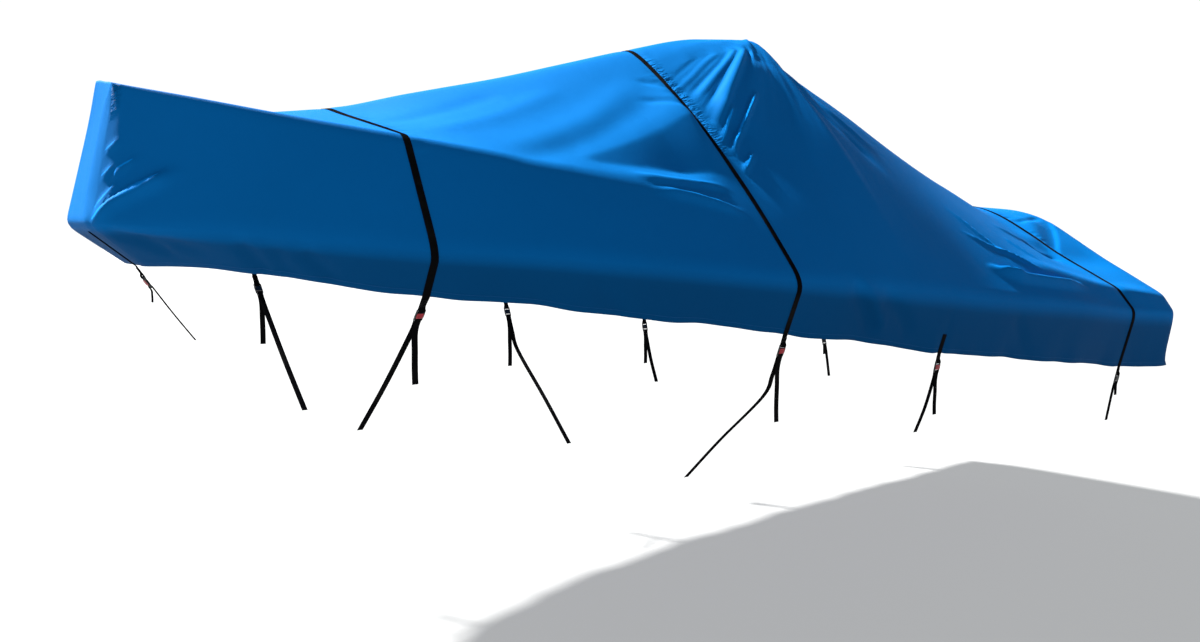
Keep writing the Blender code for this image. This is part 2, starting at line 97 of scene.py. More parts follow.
def addGroup(tree, group, **links):
    return addNode(tree, "ShaderNodeGroup", links, node_tree=group).outputs


def mathNode(tree, operation, first, second=0.0, clamp=False):
    node = addNode(tree, "ShaderNodeMath", {0: first, 1: second}, operation=operation, use_clamp=clamp)
    return node.outputs[0]


def plus(tree, first, second, clamp=False):
    return mathNode(tree, "ADD", first, second, clamp)


def minus(tree, first, second, clamp=False):
    return mathNode(tree, "SUBTRACT", first, second, clamp)


def times(tree, first, second):
    return mathNode(tree, "MULTIPLY", first, second)


def scaled(tree, vector, factor):
    return addNode(tree, "ShaderNodeVectorMath", {0: vector, "Scale": factor}, operation="SCALE").outputs[0]


def mixed(tree, share, low, high):
    links = {"Factor": share, 6: (*low, 1), 7: (*high, 1)}
    return addNode(tree, "ShaderNodeMix", links, data_type="RGBA").outputs[2]


def addNoise(tree, vector, scale, detail, **links):
    links = {"Vector": vector, "Scale": scale, "Detail": detail, **links}
    return addNode(tree, "ShaderNodeTexNoise", links).outputs


def addBump(tree, height, distance, **links):
    links = {"Height": height, "Distance": distance, "Strength": 1.0, **links}
    return addNode(tree, "ShaderNodeBump", links).outputs[0]


def makeWeaveGroup(slubScale=260.0):
    # plain weave: threads of two directions that go over and under each other
    inputs = {"Vector": None, "Period": 0.001, "Slub": 0.3}
    group, given, out = newGroup("threadWeave", inputs, ("Height", "Tone"))
    parts = addNode(group, "ShaderNodeSeparateXYZ", {0: given["Vector"]}).outputs
    turns = mathNode(group, "DIVIDE", 2 * math.pi, given["Period"])
    warp, weft = (mathNode(group, "SINE", times(group, parts[axis], turns)) for axis in ("X", "Y"))
    slub = addNoise(group, given["Vector"], slubScale, 2.0, Roughness=0.6)["Fac"]
    uneven = times(group, minus(group, slub, 0.5), given["Slub"])
    height = plus(group, times(group, times(group, warp, weft), 0.5), uneven)
    group.links.new(height, out["Height"])
    group.links.new(plus(group, times(group, height, 0.5), 0.5, clamp=True), out["Tone"])
    return group


def makeMottleGroup():
    # slow changes of tone, as from handling, dust and sun
    group, given, out = newGroup("softMottle", {"Vector": None, "Scale": 2.0, "Amount": 0.1}, ("Factor",))
    broad = addNoise(group, given["Vector"], given["Scale"], 5.0, Roughness=0.55)["Fac"]
    group.links.new(plus(group, times(group, minus(group, broad, 0.5), given["Amount"]), 1.0), out["Factor"])
    return group


def makeCreaseGroup(fullness=1.15):
    # 1 on the line from Start to End, and 0 where the distance reaches Width, less near its ends
    inputs = {"Vector": None, "Start": None, "End": None, "Width": 0.01}
    group, given, out = newGroup("creaseLine", inputs, ("Value",))

    def vectorMath(operation, first, second, output=0):
        node = addNode(group, "ShaderNodeVectorMath", {0: first, 1: second}, operation=operation)
        return node.outputs[output]

    line = vectorMath("SUBTRACT", given["End"], given["Start"])
    away = vectorMath("SUBTRACT", given["Vector"], given["Start"])
    gone, whole = vectorMath("DOT_PRODUCT", away, line, 1), vectorMath("DOT_PRODUCT", line, line, 1)
    share = mathNode(group, "DIVIDE", gone, whole, clamp=True)
    gap = vectorMath("DISTANCE", away, scaled(group, line, share), 1)
    centred = times(group, minus(group, share, 0.5), 2.0)
    taper = minus(group, fullness, mathNode(group, "POWER", mathNode(group, "ABSOLUTE", centred), 3.0))
    ratio = mathNode(group, "DIVIDE", gap, times(group, given["Width"], taper))
    group.links.new(minus(group, 1.0, times(group, ratio, ratio), clamp=True), out["Value"])
    return group


creaseGroup = makeCreaseGroup()
weaveGroup = makeWeaveGroup()
mottleGroup = makeMottleGroup()


def newMaterial(name, roughness, specular=0.5, ior=1.5, metallic=0.0):
    material = bpy.data.materials.new(name)
    material.use_nodes = True
    tree = material.node_tree
    shader = tree.nodes["Principled BSDF"]
    shader.inputs["Roughness"].default_value = roughness
    shader.inputs["Metallic"].default_value = metallic
    shader.inputs["Specular IOR Level"].default_value = specular
    shader.inputs["IOR"].default_value = ior
    return material, tree, shader


def objectPlace(tree):
    return addNode(tree, "ShaderNodeTexCoord").outputs["Object"]


def threadTone(tree, weave, swing):
    return plus(tree, times(tree, weave["Tone"], swing), 1 - swing / 2)


clothLook = {
    "colour": (0.0004, 0.105, 0.335),
    "roughness": 0.62,
    "specular": 0.10,
    "ior": 1.2,
    # share of the colour left at the hem by the painted shade of the skirt
    "paintedSkirtShade": 0.45,
    "mottle": {"Scale": 1.7, "Amount": 0.16},
    "weave": {"Period": 0.0014, "Slub": 0.35},
    "weaveDepth": 0.00012,
    "toneSwing": 0.16,
    "wrinkleStretch": (7.0, 2.2, 1.0),  # small wrinkles, drawn out down the cloth
    "wrinkleDepth": 0.0022,
    "crimpTurn": (0, 0, 0.5),
    "crimpStretch": (22.0, 60.0, 1.0),
    "crimpDepth": 0.022,
    "creasePaintedHighlight": 1.0,
    "creaseStray": (0.022, 0.022, 0.0),
    "strayScale": 14.0,
}
# Painted highlights along creases, brightening the cloth's colour: flatCloth ends of each, and its half
# width.
paintedCreaseHighlights = (
    ((-0.010, 0.590), (0.062, 0.552), 0.010),
    ((0.055, 0.555), (0.180, 0.540), 0.013),
    ((-0.006, 0.548), (0.054, 0.500), 0.007),
    ((0.053, 0.474), (0.056, 0.447), 0.004),
    ((0.056, 0.448), (0.102, 0.438), 0.006),
    ((0.000, 0.350), (0.040, 0.336), 0.005),
    ((0.000, 0.442), (0.040, 0.425), 0.005),
    ((2.815, 0.560), (2.729, 0.637), 0.004),
    ((2.735, 0.632), (2.510, 0.820), 0.006),
    ((2.582, 0.885), (2.510, 0.945), 0.006),
    ((2.635, 0.622), (2.475, 0.775), 0.008),
    ((3.960, 0.845), (4.062, 1.032), 0.007),
    ((4.062, 1.032), (4.200, 1.085), 0.006),
    ((3.890, 1.012), (4.110, 1.052), 0.007),
    ((4.110, 1.052), (4.260, 1.115), 0.006),
    ((3.915, 1.230), (4.180, 1.205), 0.018),
    ((4.140, 1.208), (4.480, 1.150), 0.012),
)


def paintedHighlightMask(tree, flat):
    # the painted crease highlights, each a little off its straight line
    wander = addNoise(tree, flat, clothLook["strayScale"], 3.0)["Color"]
    stray = addNode(tree, "ShaderNodeVectorMath", {0: wander, 1: (0.5,) * 3}, operation="SUBTRACT").outputs[0]
    links = {0: stray, 1: clothLook["creaseStray"], 2: flat}
    bent = addNode(tree, "ShaderNodeVectorMath", links, operation="MULTIPLY_ADD").outputs[0]
    mask = 0.0
    for *ends, width in paintedCreaseHighlights:
        start, end = ((x, -down, 0) for x, down in ends)
        line = addGroup(tree, creaseGroup, Vector=bent, Start=start, End=end, Width=width)
        mask = mathNode(tree, "MAXIMUM", mask, line["Value"])
    return mask


def makeClothMaterial():
    look = clothLook
    material, tree, shader = newMaterial("coatedPolyester", look["roughness"], look["specular"], look["ior"])
    flat = addNode(tree, "ShaderNodeUVMap", uv_map="flatCloth").outputs[0]
    weave = addGroup(tree, weaveGroup, Vector=flat, **look["weave"])
    mottle = addGroup(tree, mottleGroup, Vector=objectPlace(tree), **look["mottle"])["Factor"]
    # painted shade: the colour is darkened towards the hem below the gunwale, as far as the skirt attribute
    # reaches
    skirt = addNode(tree, "ShaderNodeAttribute", attribute_name="skirt").outputs["Fac"]
    paintedShadeNode = addNode(tree, "ShaderNodeMapRange", {"Value": skirt, "To Min": 1.0, "To Max": look["paintedSkirtShade"]})
    thread = times(tree, threadTone(tree, weave, look["toneSwing"]), paintedShadeNode.outputs[0])
    # painted highlight: the colour is brightened along the crease lines
    paintedShine = plus(tree, times(tree, paintedHighlightMask(tree, flat), look["creasePaintedHighlight"]), 1.0)
    shade = times(tree, mottle, times(tree, thread, paintedShine))
    tree.links.new(scaled(tree, look["colour"], shade), shader.inputs["Base Color"])
    tree.links.new(times(tree, mottle, look["roughness"]), shader.inputs["Roughness"])

    bump = addBump(tree, weave["Height"], look["weaveDepth"])
    drawn = addNode(tree, "ShaderNodeMapping", {"Vector": flat, "Scale": look["wrinkleStretch"]}).outputs[0]
    wrinkle = addNoise(tree, drawn, 1.6, 4.0, Roughness=0.5, Distortion=0.6)["Fac"]
    bump = addBump(tree, wrinkle, look["wrinkleDepth"], Normal=bump)
    # short gathers, where the attribute says that webbing draws the cloth in
    gathered = addNode(tree, "ShaderNodeAttribute", attribute_name="gathered").outputs["Fac"]
    links = {"Vector": flat, "Rotation": look["crimpTurn"], "Scale": look["crimpStretch"]}
    turned = addNode(tree, "ShaderNodeMapping", links).outputs[0]
    crimp = addNoise(tree, turned, 1.0, 2.0, Distortion=0.8)["Fac"]
    bump = addBump(tree, times(tree, crimp, gathered), look["crimpDepth"], Normal=bump)
    tree.links.new(bump, shader.inputs["Normal"])
    return material


webbingLook = {
    "colour": (0.0035, 0.0035, 0.004),
    "worn": (0.0115, 0.0108, 0.0104),
    "wornFrom": 0.45,
    "wornTo": 0.75,
    "roughness": 0.72,
    "weave": {"Period": 0.0018, "Slub": 0.25},
    "toneSwing": 0.7,
    "ribDepth": 0.0004,
}


def makeWebbingMaterial():
    look = webbingLook
    material, tree, shader = newMaterial("blackWebbing", look["roughness"], 0.0)
    flat = addNode(tree, "ShaderNodeUVMap", uv_map="flatWebbing").outputs[0]
    weave = addGroup(tree, weaveGroup, Vector=flat, **look["weave"])
    fade = addNoise(tree, objectPlace(tree), 5.0, 6.0, Roughness=0.6)["Fac"]
    links = {"Value": fade, "From Min": look["wornFrom"], "From Max": look["wornTo"]}
    worn = addNode(tree, "ShaderNodeMapRange", links).outputs[0]
    colour = mixed(tree, worn, look["colour"], look["worn"])
    thread = threadTone(tree, weave, look["toneSwing"])
    tree.links.new(scaled(tree, colour, thread), shader.inputs["Base Color"])
    tree.links.new(addBump(tree, weave["Height"], look["ribDepth"]), shader.inputs["Normal"])
    return material


plasticLook = {"mottle": {"Scale": 60.0, "Amount": 0.5}, "grainScale": 1400.0}


def makePlasticMaterial(name, colour, roughness, grain=0.00012, metallic=0.0):
    material, tree, shader = newMaterial(name, roughness, metallic=metallic)
    place = objectPlace(tree)
    mottle = addGroup(tree, mottleGroup, Vector=place, **plasticLook["mottle"])["Factor"]
    tree.links.new(scaled(tree, colour, mottle), shader.inputs["Base Color"])
    tree.links.new(times(tree, mottle, roughness), shader.inputs["Roughness"])
    fine = addNoise(tree, place, plasticLook["grainScale"], 2.0)["Fac"]
    tree.links.new(addBump(tree, fine, grain), shader.inputs["Normal"])
    return material


# One row for each measured section, in metres: x from the bow tip, heights from the floor.
sectionNames = "x gunwaleY gunwaleZ railY railZ shoulderY shoulderZ crownY crownZ ridgeZ drop tuck".split()
sections = (
    (0.00, 0.17, 1.617, 0.105, 2.112, 0.070, 2.117, 0.035, 2.118, 2.118, 0.140, 0.060),
    (0.30, 0.46, 1.590, 0.340, 2.055, 0.220, 2.070, 0.090, 2.078, 2.080, 0.120, 0.100),
    (0.60, 0.70, 1.556, 0.530, 1.995, 0.350, 2.012, 0.140, 2.028, 2.035, 0.125, 0.090),
    (0.93, 0.90, 1.525, 0.690, 1.935, 0.450, 1.980, 0.160, 2.034, 2.068, 0.145, 0.080),
    (1.30, 1.01, 1.500, 0.780, 1.870, 0.470, 1.996, 0.150, 2.102, 2.150, 0.165, 0.080),
    (1.70, 1.09, 1.462, 0.830, 1.805, 0.500, 2.004, 0.150, 2.178, 2.232, 0.185, 0.080),
    (2.10, 1.13, 1.420, 0.860, 1.745, 0.530, 2.014, 0.160, 2.258, 2.332, 0.200, 0.085),
    (2.43, 1.16, 1.385, 0.880, 1.705, 0.553, 2.020, 0.170, 2.322, 2.412, 0.215, 0.090),
    (2.85, 1.16, 1.342, 0.890, 1.690, 0.556, 2.050, 0.150, 2.430, 2.492, 0.230, 0.090),
    (3.18, 1.16, 1.305, 0.890, 1.660, 0.540, 2.072, 0.120, 2.464, 2.504, 0.250, 0.090),
    (3.26, 1.16, 1.298, 0.890, 1.640, 0.535, 2.030, 0.130, 2.388, 2.444, 0.255, 0.090),
    (3.70, 1.16, 1.250, 0.890, 1.530, 0.540, 1.862, 0.180, 2.162, 2.214, 0.265, 0.085),
    (4.40, 1.15, 1.185, 0.950, 1.364, 0.570, 1.595, 0.230, 1.815, 1.850, 0.285, 0.080),
    (4.88, 1.13, 1.130, 1.020, 1.250, 0.600, 1.455, 0.260, 1.645, 1.690, 0.290, 0.080),
    (5.29, 1.15, 1.098, 1.070, 1.194, 0.620, 1.440, 0.290, 1.636, 1.655, 0.285, 0.065),
)
keys = ("hem", "gunwale", "rail", "shoulder", "crown", "ridge")
coverSizes = {
    "peakX": 3.18,
    "overX": {"front": 0.95, "mid": 2.43, "aft": 4.89},
    "quarterX": 3.39,
    "rakeLength": 0.80,
    "rake": {"hem": 0.20, "gunwale": 0.01, "rail": 0.125, "shoulder": 0.13, "crown": 0.13, "ridge": 0.13},
    "rounding": {"hem": 0.0, "gunwale": 0.20, "shoulder": 0.5, "crown": 0.5, "ridge": 0.45},
    "railRounding": (0.10, 0.50),  # at the bow, and aft of where this edge fades
    "railFade": (2.10, 2.42),
    "railBack": (4.00, 4.40),  # where it turns crisp again
    "railCrisp": 0.95,
    "bowGunwale": (0.07, 0.5),  # rounding at the bow, and x from which it has all of it
    "sternSwell": 0.030,
    "portRows": (12, 34, 28, 44, 8),  # between one key and the next
    "starboardRows": (12, 34, 20, 24, 6),
    "strapHold": 0.034,  # folds die out this near to webbing
    "strapSink": 0.0008,  # how far webbing presses the cloth in
    "hemWidth": 0.028,
    "hemThick": 0.0025,
    "hemSteps": 4,
    "hemLip": 0.0006,  # how far the fold reaches past the cloth's edge
    # rows over which the skirt's painted shade fades out, from the hem up
    "skirtRows": (0.72, 1.06),
    "stitchUp": 0.022,
    "stitchProud": 0.0004,
    "stitch": {"Pitch": 0.008, "Length": 0.0058, "Radius": 0.0005},
    "tabEnd": 0.42,  # row where webbing sewn at the hem ends
}
webbing = {"width": 0.025, "thick": 0.0016, "clear": 0.0005, "edge": 0.0011}


def columnCurve(name):
    # smooth through one column of the sections, and never past its values
    column = sectionNames.index(name)
    xs = [row[0] for row in sections]
    values = [row[column] for row in sections]
    steps = [(values[i + 1] - values[i]) / (xs[i + 1] - xs[i]) for i in range(len(xs) - 1)]
    slopes = [steps[0]]
    for before, after in zip(steps, steps[1:]):
        slopes.append(0.0 if before * after <= 0 else 2 * before * after / (before + after))
    slopes.append(steps[-1])

    def curve(x):
        i = max(j for j in range(len(xs) - 1) if xs[j] <= max(x, xs[0]))
        span = xs[i + 1] - xs[i]
        s = (x - xs[i]) / span
        return (
            values[i] * (1 + 2 * s) * (1 - s) ** 2
            + slopes[i] * span * s * (1 - s) ** 2
            + values[i + 1] * s * s * (3 - 2 * s)
            + slopes[i + 1] * span * s * s * (s - 1)
        )

    return curve


curves = {name: columnCurve(name) for name in sectionNames[1:]}


def sectionCorners(x):
    at = {name: curve(x) for name, curve in curves.items()}
    widths = [at["gunwaleY"] - at["tuck"]] + [at[key + "Y"] for key in keys[1:-1]] + [0.0]
    heights = [at["gunwaleZ"] - at["drop"]] + [at[key + "Z"] for key in keys[1:]]
    fade = max(0.0, 1 - x / coverSizes["rakeLength"]) ** 2
    rake = coverSizes["rake"]
    port = [(x + rake[key] * fade, -y, z) for key, y, z in zip(keys, widths, heights)]
    return np.array(port + [(px, -py, pz) for px, py, pz in reversed(port[:-1])])


def cornerWindows(x):
    size = coverSizes
    share = float(ramp(x, *size["railFade"]) * (1 - size["railCrisp"] * ramp(x, *size["railBack"])))
    windows = {**size["rounding"], "rail": blend(*size["railRounding"], share)}
    tight, end = size["bowGunwale"]
    windows["gunwale"] = blend(tight, windows["gunwale"], float(ramp(x, 0.0, end)))
    port = [windows[key] for key in keys]
    return port + port[-2::-1]


def sectionPoints(x, places):
    # places: 0 is the port hem, 5 the ridge and 10 the starboard hem
    corners, count = sectionCorners(x), 2 * len(keys) - 1

    def straight(t):
        return np.stack([np.interp(t, range(count), corners[:, k]) for k in range(3)], axis=-1)

    points = straight(places)
    for key, window in enumerate(cornerWindows(x)):
        near = np.abs(places - key) < window
        if near.any():
            s = ((places[near] - key + window) / (2 * window))[:, None]
            start, end = straight(key - window), straight(key + window)
            points[near] = start * (1 - s) ** 2 + corners[key] * 2 * s * (1 - s) + end * s * s
    return points


def rowPlaces():
    def half(counts):
        return [k + i / count for k, count in enumerate(counts) for i in range(count)]

    top = len(keys) - 1
    starboard = [2 * top - t for t in reversed(half(coverSizes["starboardRows"]))]
    return np.array(half(coverSizes["portRows"]) + [top] + starboard, float)


def stationPlaces():
    half = webbing["width"] / 2
    over = coverSizes["overX"]
    stretches = (
        (0.20, 26),
        (over["front"] - half, 46),
        (over["front"] + half, 2),
        (over["mid"] - half, 80),
        (over["mid"] + half, 2),
        (coverSizes["peakX"], 90),
        (coverSizes["quarterX"] - half, 15),
        (coverSizes["quarterX"] + half, 2),
        (over["aft"] - half, 76),
        (over["aft"] + half, 2),
        (sections[-1][0], 30),
    )
    places = [0.0]
    for end, steps in stretches:
        start = places[-1]
        places += [blend(start, end, (i + 1) / steps) for i in range(steps)]
    return np.array(places)


stations = stationPlaces()
rows = rowPlaces()
lastRow = len(rows) - 1
ridgeRow = sum(coverSizes["portRows"])
railRow = int(np.argmin(np.abs(rows - 2)))


def lengthsFrom(line):
    return np.concatenate([[0.0], np.cumsum(np.linalg.norm(np.diff(line, axis=0), axis=1))])


def pointsAlong(line, wanted):
    gone = lengthsFrom(line)
    return np.stack([np.interp(wanted, gone, line[:, k]) for k in range(3)], axis=-1)


class Cloth:
    # the outer face as arrays, with the indices that its faces, rims and hem need
    def __init__(self):
        grid = np.stack([sectionPoints(x, rows) for x in stations])
        self.shape = grid.shape[:2]
        self.points = list(grid.reshape(-1, 3))
        self.index = np.arange(grid.shape[0] * grid.shape[1]).reshape(self.shape)
        near, far = self.index[:-1], self.index[1:]
        corners = (near[:, :-1], far[:, :-1], far[:, 1:], near[:, 1:])
        self.quads = np.stack(corners, axis=-1).reshape(-1, 4).tolist()
        self.bow = self.addWall(self.index[0], grid[0], 0.0, False)
        self.stern = self.addWall(self.index[-1], grid[-1], coverSizes["sternSwell"], True)
        self.points = np.array(self.points)
        self.quads = np.array(self.quads)
        self.down = self.measureDown()

    def addWall(self, rim, points, swell, outward):
        top = points[railRow : lastRow + 1 - railRow]
        share = ((top[:, 1] - top[0, 1]) / (top[-1, 1] - top[0, 1]))[:, None]
        lift = top - (top[0] + (top[-1] - top[0]) * share)
        lines = []
        for k in range(railRow):
            rise = k / railRow
            line = points[k] + (points[lastRow - k] - points[k]) * share + lift * rise
            line[:, 0] += swell * (1 - (2 * share[:, 0] - 1) ** 2) * (1 - rise**3)
            start = len(self.points)
            self.points.extend(line[1:-1])
            lines.append([rim[k], *range(start, len(self.points)), rim[lastRow - k]])
        lines.append(list(rim[railRow : lastRow + 1 - railRow]))
        for low, high in zip(lines, lines[1:]):
            for i in range(len(low) - 1):
                quad = [low[i], low[i + 1], high[i + 1], high[i]]
                self.quads.append(quad if outward else quad[::-1])
        return lines

    def measureDown(self):
        # distance down the cloth from the ridge, on both sides
        steps = np.linalg.norm(np.diff(self.points[self.index], axis=1), axis=2)
        down = np.zeros(self.shape)
        down[:, ridgeRow + 1 :] = np.cumsum(steps[:, ridgeRow:], axis=1)
        down[:, :ridgeRow] = np.cumsum(steps[:, :ridgeRow][:, ::-1], axis=1)[:, ::-1]
        return down

    def onSide(self, side, x, down):
        # the point that far down the cloth from the ridge
        i = int(np.clip(np.searchsorted(stations, x), 1, len(stations) - 1))
        share = np.clip((x - stations[i - 1]) / (stations[i] - stations[i - 1]), 0, 1)
        half = slice(ridgeRow, None) if side == "starboard" else slice(ridgeRow, None, -1)
        ends = [pointsAlong(self.points[self.index[j]][half], down) for j in (i - 1, i)]
        return blend(*ends, share)

    def normals(self):
        corners = self.points[self.quads]
        facing = np.cross(corners[:, 2] - corners[:, 0], corners[:, 3] - corners[:, 1])
        total = np.zeros_like(self.points)
        for k in range(4):
            np.add.at(total, self.quads[:, k], facing)
        return total / np.maximum(np.linalg.norm(total, axis=1), 1e-12)[:, None]

    def relax(self, passes, weight):
        # evens out the points, each by its own weight from 0 to 1
        q = self.quads
        ends = np.concatenate([q[:, [0, 1]], q[:, [1, 2]], q[:, [2, 3]], q[:, [3, 0]]])
        ends = np.unique(np.sort(ends, axis=1), axis=0)
        ends = ends[(weight[ends[:, 0]] > 0.01) | (weight[ends[:, 1]] > 0.01)]
        count = np.zeros(len(self.points))
        for k in (0, 1):
            np.add.at(count, ends[:, k], 1)
        weight = (0.5 * weight * (count > 0))[:, None]
        for _ in range(passes):
            total = np.zeros_like(self.points)
            np.add.at(total, ends[:, 0], self.points[ends[:, 1]])
            np.add.at(total, ends[:, 1], self.points[ends[:, 0]])
            self.points += (total / np.maximum(count, 1)[:, None] - self.points) * weight

    def columns(self):
        # the lines of points that run up from the edge, once round the cover
        port = [self.index[i, : railRow + 1] for i in range(self.shape[0])]
        starboard = [self.index[i, ::-1][: railRow + 1] for i in range(self.shape[0])]
        stern = [list(column) for column in zip(*self.stern)][1:-1]
        bow = [list(column) for column in zip(*self.bow)][1:-1]
        return port + stern + starboard[::-1] + bow[::-1]


cloth = Cloth()
print("cloth drawn:", len(cloth.points), "points")


edgeSizes = {
    "bowReach": 0.045,
    "bowEnd": 1.5,  # cloth before here belongs to the bow
    "bowPasses": 7,
    "bowTop": 0.02,  # weight left at the bow's top corners, which stay crisp
    "topRows": (1.81, 1.93),
    "hemWeight": 0.35,
    "hemRows": (0.9, 1.25),
    "roundRows": (0.0, 0.9, 1.2, 1.8, 2.0),  # from the hem up to the rail
    "bowRounds": (0.03, 0.06, 0.095, 0.070, 0.012),
    "farRounds": (0.03, 0.04, 0.04, 0.03, 0.012),
    "roundColumns": 40,
    "aimColumn": 10,
    "bowLift": 0.018,  # the far corner of the bow stands a little higher
    "bowLiftReach": 0.10,
    "sternReach": 0.055,
    "sternPasses": 40,
}


def roundBow(side, radii):
    # turns each upright corner of the bow into an arc, wider further down
    for level in range(railRow + 1):
        row = level if side == "port" else lastRow - level
        line = cloth.bow[level] if side == "port" else cloth.bow[level][::-1]
        column, inner = cloth.index[:, row], np.array(line[1 : len(line) // 2])
        corner = cloth.points[column[0]].copy()
        aft = cloth.points[column[edgeSizes["aimColumn"]]] - corner
        across = cloth.points[line[len(line) // 2]] - corner
        aft, across = aft / np.linalg.norm(aft), across / np.linalg.norm(across)
        radius = float(np.interp(rows[level], edgeSizes["roundRows"], radii))
        column = column[: edgeSizes["roundColumns"]]
        for points, ahead, inward in ((column, aft, across), (inner, across, aft)):
            gone = (cloth.points[points] - corner) @ ahead
            near = gone < radius
            turn = math.pi / 4 * (1 - np.maximum(gone[near], 0) / radius)
            shift = ahead * (radius * (1 - np.sin(turn)) - gone[near])[:, None]
            cloth.points[points[near]] += shift + inward * (radius * (1 - np.cos(turn)))[:, None]


roundBow("port", edgeSizes["bowRounds"])
roundBow("starboard", edgeSizes["farRounds"])


def roundEnds():
    # softens the edges where the ends meet the sides and the top
    size = edgeSizes
    weight = np.zeros(len(cloth.points))
    fromHem = np.minimum(rows, rows[-1] - rows)
    upright = blend(1.0, size["bowTop"], ramp(fromHem, *size["topRows"]))
    upright *= blend(size["hemWeight"], 1.0, ramp(fromHem, *size["hemRows"]))
    for lines, station, reach, along in (
        (cloth.bow, 0, size["bowReach"], upright),
        (cloth.stern, len(stations) - 1, size["sternReach"], np.ones(len(rows))),
    ):
        rim = cloth.points[cloth.index[station]]
        sideways = np.abs(stations - stations[station])
        for i in np.nonzero(sideways < 3 * reach)[0]:
            near = along * math.exp(-((sideways[i] / reach) ** 2))
            weight[cloth.index[i]] = np.maximum(weight[cloth.index[i]], near)
        for k, line in enumerate(lines[:-1]):
            inner = np.array(line[1:-1])
            gap = np.linalg.norm(cloth.points[inner][:, None] - rim[None, ::3], axis=2).min(axis=1)
            weight[inner] = np.maximum(weight[inner], along[k] * np.exp(-((gap / reach) ** 2)))
    for column in cloth.columns():
        weight[column[0]] = 0.0  # the edge keeps its line
        weight[column[1]] *= 0.5
    return weight


endWeight = roundEnds()
bowPart = cloth.points[:, 0] < edgeSizes["bowEnd"]
cloth.relax(edgeSizes["bowPasses"], endWeight * bowPart)
cloth.relax(edgeSizes["sternPasses"], endWeight * ~bowPart)
bowCorner = cloth.points[cloth.index[0, lastRow - railRow]].copy()
away = np.linalg.norm(cloth.points - bowCorner, axis=1)
cloth.points[:, 2] += edgeSizes["bowLift"] * np.exp(-((away / edgeSizes["bowLiftReach"]) ** 2))


